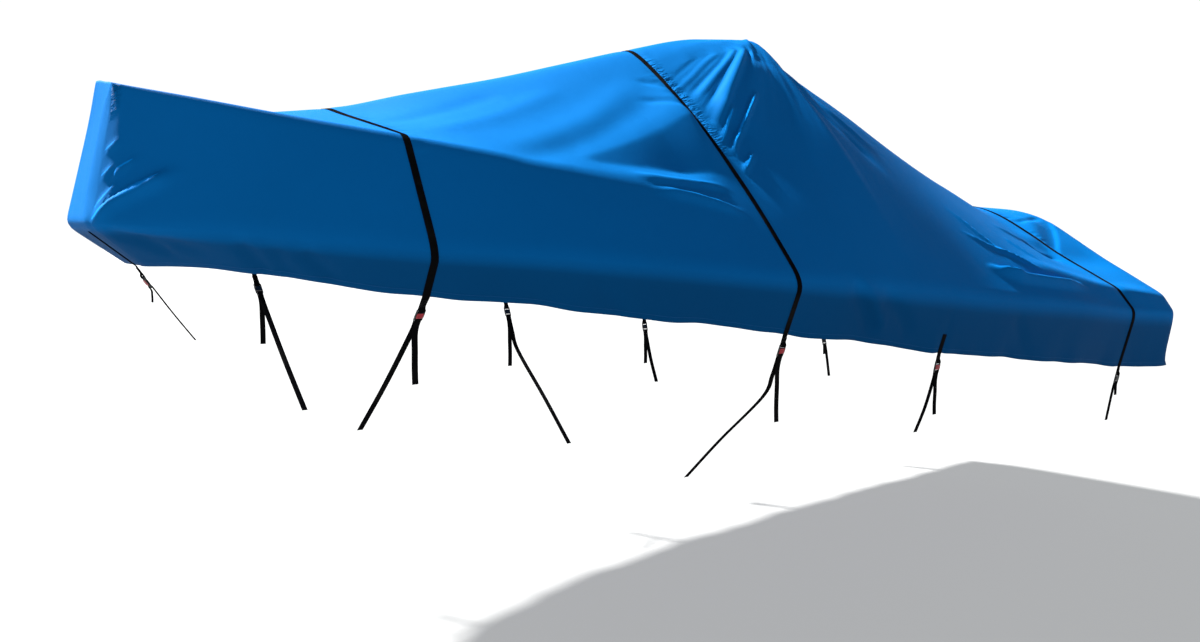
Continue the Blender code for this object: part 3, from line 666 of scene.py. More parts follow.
# Folds, as lines on the cloth laid flat: (x, down from the ridge). Widths and depths in metres,
# depth outwards; sharp 1 is a soft swell and 2 a crease; lean moves the crest to one flank.
foldNames = "side width depth sharp lean line".split()
folds = (
    # fan that hangs from the peak: the lit flank that ends it, then valleys and ridges before it
    ("port", 0.140, 0.030, 1.0, 0.00, ((3.06, 0.22), (2.80, 0.45), (2.54, 0.68))),
    ("port", 0.028, 0.016, 1.6, 0.3, ((3.13, 0.07), (3.02, 0.18), (2.86, 0.345), (2.7, 0.5), (2.49, 0.715))),
    ("port", 0.014, -0.007, 1.5, 0.00, ((3.06, 0.11), (2.95, 0.22), (2.72, 0.42), (2.50, 0.58))),
    ("port", 0.015, 0.006, 1.6, 0.20, ((3.00, 0.15), (2.86, 0.27), (2.68, 0.395), (2.50, 0.51))),
    ("port", 0.013, -0.005, 1.5, 0.00, ((2.94, 0.18), (2.78, 0.30), (2.63, 0.385), (2.48, 0.47))),
    ("port", 0.016, 0.005, 1.6, 0.10, ((2.87, 0.19), (2.72, 0.27), (2.59, 0.345), (2.46, 0.41))),
    ("port", 0.012, -0.002, 1.5, 0.00, ((2.76, 0.19), (2.62, 0.26), (2.48, 0.33))),
    ("port", 0.010, 0.015, 1.8, 0.20, ((2.66, 0.595), (2.60, 0.655), (2.55, 0.71), (2.48, 0.775))),
    ("port", 0.010, 0.011, 1.8, 0.30, ((3.155, 0.03), (3.10, 0.13), (3.02, 0.27))),
    ("port", 0.010, 0.019, 1.8, 0.20, ((2.86, 0.525), (2.79, 0.59), (2.65, 0.715), (2.50, 0.84))),
    ("port", 0.008, 0.006, 1.8, 0.00, ((2.55, 0.80), (2.52, 0.84), (2.51, 0.88))),
    ("port", 0.010, 0.014, 1.8, 0.20, ((2.61, 0.875), (2.56, 0.91), (2.49, 0.965))),
    ("starboard", 0.034, 0.020, 1.5, 0.30, ((3.12, 0.08), (2.88, 0.38), (2.54, 0.72))),
    ("starboard", 0.026, -0.016, 1.4, 0.00, ((3.08, 0.10), (2.86, 0.30), (2.52, 0.58))),
    ("starboard", 0.020, 0.011, 1.5, 0.00, ((3.02, 0.12), (2.80, 0.26), (2.50, 0.46))),
    ("starboard", 0.020, -0.010, 1.5, 0.00, ((2.94, 0.13), (2.74, 0.24), (2.48, 0.36))),
    ("starboard", 0.012, 0.007, 1.7, 0.00, ((3.14, 0.08), (3.08, 0.30), (3.00, 0.52))),
    ("starboard", 0.012, 0.006, 1.7, 0.00, ((2.90, 0.50), (2.74, 0.66), (2.58, 0.78))),
    # back slope, just under the peak
    ("port", 0.030, 0.010, 1.3, 0.0, ((3.24, 0.16), (3.40, 0.34), (3.62, 0.55))),
    ("port", 0.036, -0.010, 1.0, 0.0, ((3.22, 0.28), (3.34, 0.48), (3.50, 0.74))),
    ("starboard", 0.030, 0.010, 1.3, 0.0, ((3.24, 0.14), (3.42, 0.30), (3.66, 0.50))),
    ("starboard", 0.036, -0.010, 1.0, 0.0, ((3.22, 0.30), (3.36, 0.52), (3.56, 0.80))),
    # drag lines where the upper edge runs out
    ("port", 0.022, 0.018, 1.6, 0.30, ((1.94, 1.02), (2.10, 1.07), (2.22, 1.12), (2.32, 1.17))),
    ("port", 0.018, -0.009, 1.5, 0.00, ((2.08, 1.01), (2.18, 1.025), (2.30, 1.06))),
    ("port", 0.022, 0.012, 1.6, 0.20, ((1.88, 0.93), (2.00, 0.965), (2.15, 1.00), (2.31, 1.035))),
    ("port", 0.026, -0.006, 1.2, 0.00, ((2.30, 0.30), (2.38, 0.355), (2.47, 0.41))),
    ("port", 0.026, -0.006, 1.2, 0.00, ((2.22, 0.45), (2.33, 0.495), (2.47, 0.58))),
    ("starboard", 0.028, 0.019, 1.5, 0.30, ((1.66, 0.92), (1.96, 0.96), (2.34, 1.04))),
    ("starboard", 0.022, 0.012, 1.6, 0.00, ((1.90, 1.00), (2.14, 1.08), (2.36, 1.18))),
    ("starboard", 0.070, -0.018, 1.2, 0.00, ((1.84, 0.81), (2.10, 0.84), (2.36, 0.84))),
    ("starboard", 0.016, 0.008, 1.6, 0.00, ((2.14, 0.60), (2.28, 0.57), (2.41, 0.52))),
    # long soft streaks over the forward slope
    ("port", 0.075, 0.007, 1.0, 0.0, ((2.34, 0.28), (1.90, 0.52), (1.36, 0.74))),
    ("port", 0.065, -0.006, 1.0, 0.0, ((2.30, 0.46), (1.84, 0.66), (1.30, 0.86))),
    ("port", 0.060, 0.006, 1.0, 0.0, ((1.92, 0.24), (1.50, 0.42), (1.08, 0.58))),
    ("port", 0.055, -0.005, 1.0, 0.0, ((1.66, 0.18), (1.30, 0.32), (1.00, 0.42))),
    ("starboard", 0.075, 0.007, 1.0, 0.0, ((2.32, 0.24), (1.84, 0.50), (1.28, 0.72))),
    ("starboard", 0.065, -0.006, 1.0, 0.0, ((2.26, 0.44), (1.78, 0.68), (1.24, 0.84))),
    # drag lines and the dip in front of the raised stern
    ("port", 0.070, 0.012, 1.0, 0.0, ((4.10, 1.12), (4.40, 1.10), (4.72, 1.12), (5.03, 1.15), (5.28, 1.20))),
    ("port", 0.130, -0.016, 1.0, 0.0, ((4.60, 0.74), (4.95, 0.78), (5.26, 0.80))),
    ("port", 0.012, 0.009, 1.7, 0.2, ((3.94, 0.80), (4.01, 0.95), (4.08, 1.04), (4.22, 1.10))),
    ("port", 0.012, 0.009, 1.7, 0.2, ((3.87, 1.01), (4.00, 1.045), (4.12, 1.065), (4.28, 1.13))),
    ("port", 0.012, 0.008, 1.6, 0.0, ((4.30, 0.84), (4.34, 0.92), (4.40, 1.00))),
    ("port", 0.026, 0.032, 1.5, 0.3, ((3.87, 1.25), (4.02, 1.255), (4.24, 1.215), (4.54, 1.165))),
    ("port", 0.020, 0.014, 1.5, 0.3, ((3.90, 1.245), (3.96, 1.25), (4.04, 1.25))),
    ("port", 0.018, 0.008, 1.4, 0.0, ((4.42, 0.66), (4.54, 0.69), (4.70, 0.69))),
    ("port", 0.045, -0.010, 1.2, 0.70, ((5.264, 0.359), (5.161, 0.478), (5.058, 0.579), (4.87, 0.74))),
    ("port", 0.080, 0.012, 1.0, 0.0, ((5.10, 0.33), (5.00, 0.45), (4.88, 0.56), (4.74, 0.66))),
    ("port", 0.020, -0.008, 1.2, 0.0, ((4.93, 0.39), (5.07, 0.365), (5.22, 0.335))),
    ("port", 0.022, -0.018, 1.1, 0.0, ((4.62, 0.71), (4.71, 0.78), (4.83, 0.775))),
    ("starboard", 0.040, 0.017, 1.3, 0.3, ((3.96, 0.88), (4.28, 0.98), (4.58, 1.07))),
    ("starboard", 0.040, -0.013, 1.0, 0.0, ((4.10, 1.16), (4.40, 1.13), (4.68, 1.10))),
    ("starboard", 0.050, -0.022, 1.1, 0.0, ((5.22, 0.40), (5.08, 0.56), (4.96, 0.72))),
    # creases on the bow, and what sags under it
    ("port", 0.022, 0.024, 1.4, 0.3, ((0.00, 0.600), (0.06, 0.565), (0.11, 0.555), (0.22, 0.555))),
    ("port", 0.012, 0.009, 1.7, 0.2, ((0.00, 0.560), (0.025, 0.535), (0.070, 0.508))),
    ("port", 0.011, 0.007, 1.7, 0.2, ((0.050, 0.485), (0.060, 0.460), (0.115, 0.445))),
    ("port", 0.010, 0.006, 1.7, 0.0, ((0.010, 0.36), (0.055, 0.345))),
    ("port", 0.010, 0.006, 1.7, 0.0, ((0.010, 0.450), (0.045, 0.430))),
    ("port", 0.020, -0.006, 1.2, 0.0, ((0.01, 0.62), (0.08, 0.575), (0.17, 0.53))),
    ("port", 0.030, -0.012, 1.1, 0.0, ((0.03, 0.65), (0.10, 0.73), (0.19, 0.87))),
    ("port", 0.030, -0.008, 1.1, 0.0, ((0.10, 0.72), (0.20, 0.80), (0.30, 0.90))),
    ("starboard", 0.016, 0.010, 1.6, 0.2, ((0.01, 0.62), (0.12, 0.56), (0.24, 0.50))),
    ("starboard", 0.014, 0.007, 1.6, 0.0, ((0.03, 0.55), (0.08, 0.50))),
    ("starboard", 0.030, -0.010, 1.1, 0.0, ((0.05, 0.66), (0.14, 0.78), (0.22, 0.90))),
    # slack in the skirt
    ("port", 0.030, -0.013, 1.2, 0.0, ((0.39, 0.87), (0.43, 0.97), (0.48, 1.08))),
    ("port", 0.026, -0.009, 1.2, 0.0, ((0.49, 0.93), (0.51, 1.01), (0.54, 1.10))),
    ("port", 0.030, -0.013, 1.2, 0.0, ((0.57, 0.99), (0.62, 1.08), (0.68, 1.17))),
    ("port", 0.040, -0.019, 1.2, 0.0, ((2.74, 1.60), (2.84, 1.72), (2.94, 1.86))),
    ("port", 0.028, 0.010, 1.3, 0.0, ((2.80, 1.60), (2.90, 1.72), (3.00, 1.85))),
    ("port", 0.036, -0.014, 1.2, 0.0, ((2.92, 1.65), (3.06, 1.76), (3.18, 1.88))),
    ("port", 0.034, -0.009, 1.2, 0.0, ((1.50, 1.36), (1.60, 1.46), (1.68, 1.55))),
    ("port", 0.034, -0.008, 1.2, 0.0, ((3.86, 1.52), (3.98, 1.64), (4.08, 1.76))),
    ("starboard", 0.032, -0.013, 1.2, 0.0, ((0.44, 0.91), (0.50, 1.02), (0.56, 1.12))),
    ("starboard", 0.036, -0.013, 1.2, 0.0, ((1.60, 1.36), (1.70, 1.46), (1.80, 1.56))),
    ("starboard", 0.040, -0.018, 1.2, 0.0, ((3.80, 1.50), (3.92, 1.62), (4.04, 1.76))),
)
waves = (  # slack of the skirt between ties: wave length, swell out and drop of the hem
    (0.83, 0.006, 0.0025),
    (0.37, 0.004, 0.0015),
    (0.21, 0.002, 0.0006),
)
reliefSizes = {
    "endFade": (-0.08, 0.22),  # share of a fold's length over which each end dies out
    "undulation": 0.004,
    "undulationScale": 1.9,
    "slackSlope": (0.17, 0.13),
    "slackUp": 0.22,
    "slackDown": 0.05,
    "slackStart": (1.66, 1.76),
    "slackEase": (2.14, 2.36),  # beside the webbing it only eases off
    "fan": 0.0014,
    "fanTurns": 34,
    "fanStart": (0.05, 0.30),
    "fanEnd": (0.55, 1.0),
    "fanBack": 0.45,  # share of it that runs down the back slope
    "pucker": 0.0026,
    "puckerLength": 0.044,
    "puckerReach": 0.045,
    "puckerStart": (0.0, 0.012),
    "puckerEnd": (0.84, 0.92),
    "puckerFore": 0.3,  # share of it on the webbing's forward side
    "tabRows": (0.6, 1.2),
    "gatherReach": 0.034,
    "gatherDown": (0.10, 0.22, 0.78, 0.86),
    "bowGather": (0.02, 0.05),
    "bowGatherDown": (0.12, 0.15, 0.20, 0.25),
    "skirtCalm": 0.25,  # share of the skirt's slack that the bow has
    "skirtFull": (0.15, 0.9),
    "foldsAtStrap": 0.10,
}
# Slope that the roof breaks into before the mid webbing: x, down where it starts, down where it ends.
slack = np.array(((1.66, 0.810, 0.820), (2.00, 0.725, 0.875), (2.20, 0.672, 0.915), (2.43, 0.600, 0.955)))


def bell(gap, reach):
    return np.exp(-((gap / reach) ** 2))


def between(value, start, full, easing, end):  # 0, rising to 1, and back to 0
    return ramp(value, start, full) * (1 - ramp(value, easing, end))


def liftOfFold(lift, fold):
    # adds one fold to the lift of every point, by its distance from the fold's line
    at = dict(zip(foldNames, fold))
    line = np.array([cloth.onSide(at["side"], x, down) for x, down in at["line"]])
    total = lengthsFrom(line)[-1]
    reach = 3.2 * at["width"]
    inside = (cloth.points > line.min(axis=0) - reach) & (cloth.points < line.max(axis=0) + reach)
    near = np.nonzero(inside.all(axis=1))[0]
    points = cloth.points[near]
    best = np.full(len(near), 9.0)
    along = np.zeros(len(near))
    flank = np.zeros(len(near))
    gone = 0.0
    for start, end in zip(line, line[1:]):
        step = end - start
        length = np.linalg.norm(step)
        share = np.clip(((points - start) @ step) / length**2, 0, 1)
        off = points - (start + share[:, None] * step)
        gap = np.linalg.norm(off, axis=1)
        closer = gap < best
        best[closer] = gap[closer]
        along[closer] = (gone + share * length)[closer]
        side = np.cross(step / length, normals[near])
        flank[closer] = np.sign((off * side).sum(axis=1))[closer]
        gone += length
    width = at["width"] * (1 + at["lean"] * flank)
    profile = np.exp(-((best / width) ** at["sharp"] ** 0.5) ** 2)
    ends = ramp(along / total, *reliefSizes["endFade"]) * ramp(1 - along / total, *reliefSizes["endFade"])
    lift[near] += at["depth"] * profile * ends


def strapGap():
    places = (*coverSizes["overX"].values(), coverSizes["quarterX"])
    return np.min([np.abs(stations - x) for x in places], axis=0)


normals = cloth.normals()
lift = np.zeros(len(cloth.points))
for fold in folds:
    liftOfFold(lift, fold)
print("folds laid:", len(folds))
lift += reliefSizes["undulation"] * np.array(
    [noise.noise(Vector(p) * reliefSizes["undulationScale"]) for p in cloth.points]
)

x = stations[:, None] + 0 * rows[None, :]
down = cloth.down
fromHem = np.minimum(rows, rows[-1] - rows)[None, :]
starboardSide = (np.arange(len(rows)) > ridgeRow)[None, :]


def slackLift():
    size = reliefSizes
    top, foot = (np.interp(x, slack[:, 0], slack[:, i]) for i in (1, 2))
    eased = ramp(x, *size["slackEase"])
    share = np.clip((down - top) / (foot - top), 0, 1)
    above, below = np.maximum(top - down, 0), np.maximum(down - foot, 0)
    fade = bell(above, size["slackUp"]) * bell(below, size["slackDown"])
    inside = ramp(x, *size["slackStart"]) * (x < slack[-1, 0]) * ~starboardSide
    return blend(*size["slackSlope"], eased) * (foot - top) * (0.5 + 0.5 * eased - share) * fade * inside


def fanLift():
    # fine fan of gathers round the peak: waves of three lengths over the angle from it
    size = reliefSizes
    angle = np.arctan2(down, np.abs(coverSizes["peakX"] - x) + 0.02)
    reach = np.hypot(down, coverSizes["peakX"] - x)
    window = between(reach, *size["fanStart"], *size["fanEnd"])
    window = window * np.where(x < coverSizes["peakX"], 1.0, size["fanBack"])
    turns = angle * size["fanTurns"] + np.where(starboardSide, 1.3, 0.0)
    gather = np.sin(turns) * 0.6 + np.sin(turns * 0.53 + 2.0) * 0.7 + np.sin(turns * 1.7 + reach * 9) * 0.3
    return size["fan"] * gather * window


def puckerLift():
    # puckers beside the webbing, where it draws the cloth in
    size = reliefSizes
    total = np.zeros(x.shape)
    for name, strapX in (*coverSizes["overX"].items(), ("quarter", coverSizes["quarterX"])):
        gap = np.maximum(np.abs(x - strapX) - webbing["width"] / 2, 0.0)
        depth = bell(gap, size["puckerReach"]) * ramp(gap, *size["puckerStart"])
        depth *= np.where(x > strapX, 1.0, size["puckerFore"]) * (1 - ramp(down, *size["puckerEnd"]))
        if name == "quarter":
            depth *= 1 - ramp(fromHem, *size["tabRows"])
        wave = down * 2 * math.pi / size["puckerLength"] + 14 * gap * np.where(x > strapX, 1, -1)
        uneven = 0.6 + 0.6 * np.sin(down * 7.3 + strapX) * np.sin(down * 17.1 + 2 * strapX)
        pucker = np.sin(wave + 1.6 * np.sin(down * 23)) + 0.5 * np.sin(wave * 0.47 + 1.0)
        total += size["pucker"] * depth * pucker * np.maximum(uneven, 0)
    return total


def gatheredShare():
    # where the material adds short gathers: behind the mid webbing and at the bow
    size = reliefSizes
    midX = coverSizes["overX"]["mid"]
    gap = np.maximum(np.abs(x - midX) - webbing["width"] / 2, 0.0)
    mid = bell(gap, size["gatherReach"]) * (x > midX) * between(down, *size["gatherDown"])
    bow = (1 - ramp(x, *size["bowGather"])) * between(down, *size["bowGatherDown"])
    return np.maximum(mid, bow) * ~starboardSide


def skirtWave(turn, column):
    # the slack of the skirt: sines of each wave length, shifted on the far side
    shift = np.where(starboardSide, 1.7, 0.4)
    parts = [wave[column] * turn(2 * math.pi * x / wave[0] + shift * (i + 1)) for i, wave in enumerate(waves)]
    return sum(parts)


gathered = gatheredShare()
hold = (1 - bell(strapGap(), coverSizes["strapHold"]))[:, None]
sunk = bell(strapGap(), webbing["width"] * 0.9)[:, None] * (fromHem > 1)
calm = blend(reliefSizes["skirtCalm"], 1.0, ramp(x, *reliefSizes["skirtFull"]))
hang = np.maximum(0.0, 1 - fromHem) ** 2 * calm
gridLift = lift[cloth.index] + slackLift() + fanLift() + skirtWave(np.sin, 1) * hang
gridLift = gridLift * blend(reliefSizes["foldsAtStrap"], 1.0, hold) - coverSizes["strapSink"] * sunk
lift[cloth.index] = gridLift + puckerLift()
cloth.points += normals * lift[:, None]
cloth.points[cloth.index, 2] -= skirtWave(np.cos, 2) * hang * hold
normals = cloth.normals()
print("cloth folded")


def makeCover():
    # one layer of cloth, turned in at the hem
    size = coverSizes
    edge, up, inner = [], [], []
    for column in cloth.columns():
        line = cloth.points[np.array(column)]
        steps = np.linspace(0, size["hemWidth"], size["hemSteps"])
        folded = pointsAlong(line, steps) - normals[column[0]] * size["hemThick"]
        folded[0] += (line[0] - line[1]) / np.linalg.norm(line[0] - line[1]) * size["hemLip"]
        inner.append(folded)
        edge.append(column[0])
        up.append(pointsAlong(line, size["stitchUp"]) + normals[column[1]] * size["stitchProud"])
    start = len(cloth.points)
    inner = np.array(inner)
    count, steps = inner.shape[:2]
    faces = cloth.quads.tolist()
    for i in range(count):
        j = (i + 1) % count
        faces.append([edge[j], edge[i], start + i * steps, start + j * steps])
        for k in range(steps - 1):
            a, b = start + i * steps + k, start + j * steps + k
            faces.append([b, a, a + 1, b + 1])
    points = np.concatenate([cloth.points, inner.reshape(-1, 3)])
    mesh = bpy.data.meshes.new("cover_cloth")
    mesh.from_pydata((points - heldAt).tolist(), [], faces)
    addClothMaps(mesh, start, steps)
    mesh.polygons.foreach_set("use_smooth", [True] * len(mesh.polygons))
    mesh.update()
    return mesh, np.array(up)


def loopCorners(mesh):
    corner = np.zeros(len(mesh.loops), dtype=np.int32)
    mesh.loops.foreach_get("vertex_index", corner)
    return corner


def addMap(mesh, name, u, v):
    mesh.uv_layers.new(name=name).data.foreach_set("uv", np.stack([u, v], axis=-1).ravel())


def addAttribute(mesh, name, values):
    mesh.attributes.new(name, "FLOAT", "POINT").data.foreach_set("value", values)


def addClothMaps(mesh, start, steps):
    # flatCloth: along, and down from the ridge
    along, downward, skirt, creased = (np.zeros(len(mesh.vertices)) for _ in range(4))
    along[cloth.index] = stations[:, None]
    downward[cloth.index] = np.where(starboardSide, 1, -1) * cloth.down
    for number, column in enumerate(cloth.columns()):
        skirt[np.array(column)] = 1 - ramp(rows[: len(column)], *coverSizes["skirtRows"])
        turnedIn = slice(start + number * steps, start + (number + 1) * steps)
        along[turnedIn], downward[turnedIn] = 0.02 * number, np.linspace(0, coverSizes["hemWidth"], steps)
    skirt[start:] = 1.0
    # skirt: mask of the painted shade, 1 at the hem and on the turned-in hem, 0 above the gunwale
    addAttribute(mesh, "skirt", skirt)
    creased[cloth.index] = gathered
    addAttribute(mesh, "gathered", creased)
    # the two ends carry on from the port side's cloth
    wallAlong, wallDown = along.copy(), downward.copy()
    for lines, station, sense in ((cloth.bow, 0, -1), (cloth.stern, -1, 1)):
        for k, line in enumerate(lines):
            line = np.array(line)
            wallAlong[line] = stations[station] + sense * lengthsFrom(cloth.points[line])
            wallDown[line] = -cloth.down[station, k]
    corner = loopCorners(mesh)
    ends = np.arange(len(corner)) >= 4 * (cloth.shape[0] - 1) * (cloth.shape[1] - 1)
    u = np.where(ends, wallAlong[corner], along[corner])
    v = np.where(ends, wallDown[corner], downward[corner])
    addMap(mesh, "flatCloth", u, v)


clothMaterial = makeClothMaterial()
coverMesh, stitchLine = makeCover()
cover = newObject("cover_cloth", coverMesh, clothMaterial)
print("cover made:", len(coverMesh.polygons), "faces")


def stitchGroup(values, material):
    # short threads set out along a line
    tree = bpy.data.node_groups.new("hemStitching", "GeometryNodeTree")
    for direction in ("INPUT", "OUTPUT"):
        tree.interface.new_socket("Geometry", in_out=direction, socket_type="NodeSocketGeometry")
    for socket, value in values.items():
        tree.interface.new_socket(socket, in_out="INPUT", socket_type="NodeSocketFloat").default_value = value
    given = tree.nodes.new("NodeGroupInput").outputs
    curve = addNode(tree, "GeometryNodeMeshToCurve", {"Mesh": given["Geometry"]}).outputs[0]
    links = {"Curve": curve, "Length": given["Pitch"]}
    spots = addNode(tree, "GeometryNodeCurveToPoints", links, mode="LENGTH").outputs
    links = {"Segments": 6, "Rings": 4, "Radius": given["Radius"]}
    thread = addNode(tree, "GeometryNodeMeshUVSphere", links).outputs["Mesh"]
    ratio = mathNode(tree, "DIVIDE", given["Length"], times(tree, given["Radius"], 2.0))
    stretch = addNode(tree, "ShaderNodeCombineXYZ", {"X": 1.0, "Y": 1.0, "Z": ratio}).outputs[0]
    links = {"Points": spots["Points"], "Instance": thread, "Rotation": spots["Rotation"], "Scale": stretch}
    placed = addNode(tree, "GeometryNodeInstanceOnPoints", links).outputs[0]
    real = addNode(tree, "GeometryNodeRealizeInstances", {0: placed}).outputs[0]
    finish = addNode(tree, "GeometryNodeSetMaterial", {"Geometry": real, "Material": material}).outputs[0]
    tree.links.new(finish, tree.nodes.new("NodeGroupOutput").inputs[0])
    return tree


def addStitches(name, line, material):
    mesh = bpy.data.meshes.new(name)
    count, values = len(line), coverSizes["stitch"]
    mesh.from_pydata((line - heldAt).tolist(), [(i, (i + 1) % count) for i in range(count)], [])
    made = newObject(name, mesh, material)
    modifier = made.modifiers.new("Stitching", "NODES")
    modifier.node_group = stitchGroup(values, material)
    for item in modifier.node_group.interface.items_tree:
        if item.in_out == "INPUT" and item.name in values:
            modifier[item.identifier] = values[item.name]
    bpy.context.view_layer.update()
    plain = bpy.data.meshes.new_from_object(made.evaluated_get(bpy.context.evaluated_depsgraph_get()))
    made.modifiers.remove(modifier)
    made.data = plain
    plain.polygons.foreach_set("use_smooth", [True] * len(plain.polygons))
    return made


buckleSizes = {
    "width": 0.034,
    "thick": 0.007,
    "bar": 0.005,
    "slot": 0.008,
    "plate": 0.024,
    "rail": 0.0035,
    "button": (0.026, 0.0225, 0.0042),  # across, along and how far it stands proud
    "steel": 0.0046,  # across the bright bars
    "steelInset": 0.0004,
    "thumbRib": 0.002,
    "thumbSpan": (0.30, 0.70),  # share of the length
    "rim": 0.0012,
    "grip": 0.0008,  # half a grip rib
    "gripCount": 4,
    "gripPitch": 0.17,  # share of the button's length
    "gripReach": 0.34,  # share of its width
    "crown": (0.72, 0.93),  # share of the rise that the button has, and its grip ribs
    "buttonBevel": 0.0016,
}
buckleBlocks = {  # foot and top in half thicknesses, and the bevel
    "rail": (-1.0, 1.0, 0.0011),
    "thumbRib": (-0.4, 1.25, 0.0006),
    "plate": (-1.0, 0.8, 0.0009),
    "rim": (0.0, 1.15, 0.0005),
    "bar": (-0.75, 0.75, 0.0012),
    "steel": (-0.9, 0.95, 0.0014),
}
buckleLength = 2 * (buckleSizes["bar"] + buckleSizes["slot"]) + buckleSizes["plate"]
webbingRise = webbing["clear"] + webbing["thick"] / 2  # of the webbing's middle over what it lies on
loopReach = buckleSizes["thick"] / 2 + webbingRise
fallSizes = {
    "snug": 0.0008,
    "layerGap": 0.0006,
    "turn": 0.004,
    "flat": 0.014,
    "short": 0.008,
    "tailStart": 0.003,
    "tailSway": 0.04,
    "pastHem": 0.004,
    "tailSteps": 9,
}
boxSizes = {  # the box of thread that holds a folded-back end
    "past": (0.001, 0.003),
    "inset": 0.004,
    "proud": 0.0003,
    "pitch": 0.0032,
    "thread": (0.12, 0.80),  # where each thread starts and ends in its pitch
    "radius": 0.0004,
}
# Webbing that leaves the hem: station, hem to buckle, (out, height) of its way down, free end.
over = coverSizes["overX"]
drops = {
    "front": (over["front"], 0.055, ((0.711, 1.238), (0.497, 1.029), (0.271, 0.826)), 0.23),
    "mid": (over["mid"], 0.040, ((1.000, 0.998), (0.944, 0.900), (0.686, 0.679), (0.461, 0.474)), 0.27),
    "quarter": (coverSizes["quarterX"], 0.036, ((1.045, 0.900), (1.003, 0.769), (0.950, 0.645)), 0.19),
    "aft": (over["aft"], 0.036, ((1.020, 0.700), (0.992, 0.545)), 0.06),
}
bowDrop = (0.0, 0.045, ((-0.330, 1.290), (-0.405, 1.190)), 0.05)


def ribbon(name, rings, material):
    # webbing with rounded selvedges through rings of (left, middle, right, normal)
    half, edge, wide = webbing["thick"] / 2, webbing["edge"], webbing["width"] / 2
    across = (-wide, edge - wide, 0, wide - edge, wide)
    verts, flat = [], []
    gone = lengthsFrom(np.array([ring[1] for ring in rings]))
    for (left, middle, right, normal), along in zip(rings, gone):
        lift = normal * half
        inLeft, inRight = (
            side + (middle - side) * (edge / np.linalg.norm(middle - side)) for side in (left, right)
        )
        face = ((left, 0.4), (inLeft, 1), (middle, 1), (inRight, 1), (right, 0.4))
        verts += [place - lift * share for place, share in face]
        verts += [place + lift * share for place, share in reversed(face)]
        flat += [(u, along) for u in across + across[::-1]]
    size = 2 * len(across)
    faces = []
    for a in range(0, len(verts) - size, size):
        for k in range(size):
            n = (k + 1) % size
            faces.append((a + k, a + n, a + size + n, a + size + k))
    faces += [tuple(range(size))[::-1], tuple(range(len(verts) - size, len(verts)))]
    mesh = bpy.data.meshes.new(name)
    mesh.from_pydata((np.array(verts) - heldAt).tolist(), [], faces)
    addMap(mesh, "flatWebbing", *np.array(flat)[loopCorners(mesh)].T)
    build = bmesh.new()
    build.from_mesh(mesh)
    bmesh.ops.recalc_face_normals(build, faces=build.faces)
    build.to_mesh(mesh)
    build.free()
    smoothed(mesh, 50)
    return newObject(name, mesh, material), float(gone[-1])


def ringsOnCloth(station):
    # three points across at each row: the two edges and the middle
    found = []
    for j in range(len(rows)):
        three = cloth.index[station - 1 : station + 2, j]
        normal = sum(normals[three])
        normal = normal / np.linalg.norm(normal)
        found.append((*(cloth.points[three] + normal * webbingRise), normal))
    return found


def onward(rings):
    # one more ring past the first, so that the webbing clears the hem before it turns
    step = rings[0][1] - rings[1][1]
    step = step / np.linalg.norm(step) * fallSizes["pastHem"]
    return (*(p + step for p in rings[0][:3]), rings[0][3])


class Fall:
    # the plane in which webbing falls from the hem: out from the centre, and height
    def __init__(self, drop, out, across, hem):
        self.reach, self.route, self.tail = drop[1:]
        self.out, self.across = np.array(out, float), np.array(across, float)
        middle = hem[1]
        self.base = middle - self.out * (middle @ self.out)
        self.base[2] = 0.0
        start = np.array((middle @ self.out, middle[2]))
        self.down = np.array(self.route[0]) - start
        self.down /= np.linalg.norm(self.down)
        self.away = np.array((-self.down[1], self.down[0]))
        self.origin = start + self.down * self.reach + self.away * loopReach

    def local(self, along, off):
        return self.origin + self.down * along + self.away * off

    def world(self, flat):
        return self.base + self.out * flat[0] + np.array((0, 0, flat[1]))

    def rings(self, path):
        found = []
        for i, point in enumerate(path):
            along = path[min(i + 1, len(path) - 1)] - path[max(i - 1, 0)]
            along = along / np.linalg.norm(along)
            normal = self.out * -along[1] + np.array((0, 0, along[0]))
            middle, half = self.world(point), self.across * (webbing["width"] / 2)
            found.append((middle - half, middle, middle + half, normal))
        return found

    def loop(self, along, bulge, steps=10):
        turns = [math.pi * i / steps for i in range(steps + 1)]
        return [self.local(along + bulge * loopReach * math.sin(a), -loopReach * math.cos(a)) for a in turns]

    def sewnEnd(self):
        size = fallSizes
        layer = webbing["thick"] + size["layerGap"] - loopReach
        back = (
            (-size["turn"], loopReach - size["layerGap"]),
            (-size["turn"] * 2.2, blend(loopReach, layer, 0.65)),
            (-size["flat"], layer),
            (size["short"] - self.reach, layer),
        )
        loop = self.loop(buckleSizes["bar"] - size["snug"], 1)
        return self.rings(loop + [self.local(*place) for place in back])

    def tie(self):
        size = fallSizes
        route = [self.local(buckleLength, -loopReach)] + [np.array(place) for place in self.route]
        path = smoothRoute(route)[::-1] + self.loop(buckleLength - buckleSizes["bar"] + size["snug"], -1)
        path.append(self.local(buckleLength + size["tailStart"], loopReach))
        step = self.tail / size["tailSteps"]
        corners = [path[-1]]
        for i in range(size["tailSteps"]):
            plumb = np.array((size["tailSway"] * math.sin(i), -1.0))
            heading = blend(self.down, plumb, float(ramp(i, -1, 3)))
            corners.append(corners[-1] + heading / np.linalg.norm(heading) * step)
        return self.rings(path + smoothRoute(corners, 3)[1:])

    def matrix(self):
        along = Vector(self.out * self.down[0] + np.array((0, 0, self.down[1])))
        away = Vector(self.out * self.away[0] + np.array((0, 0, self.away[1])))
        turned = Matrix((along.cross(away), along, away)).transposed()
        return Matrix.Translation(Vector(self.world(self.origin) - heldAt)) @ turned.to_4x4()


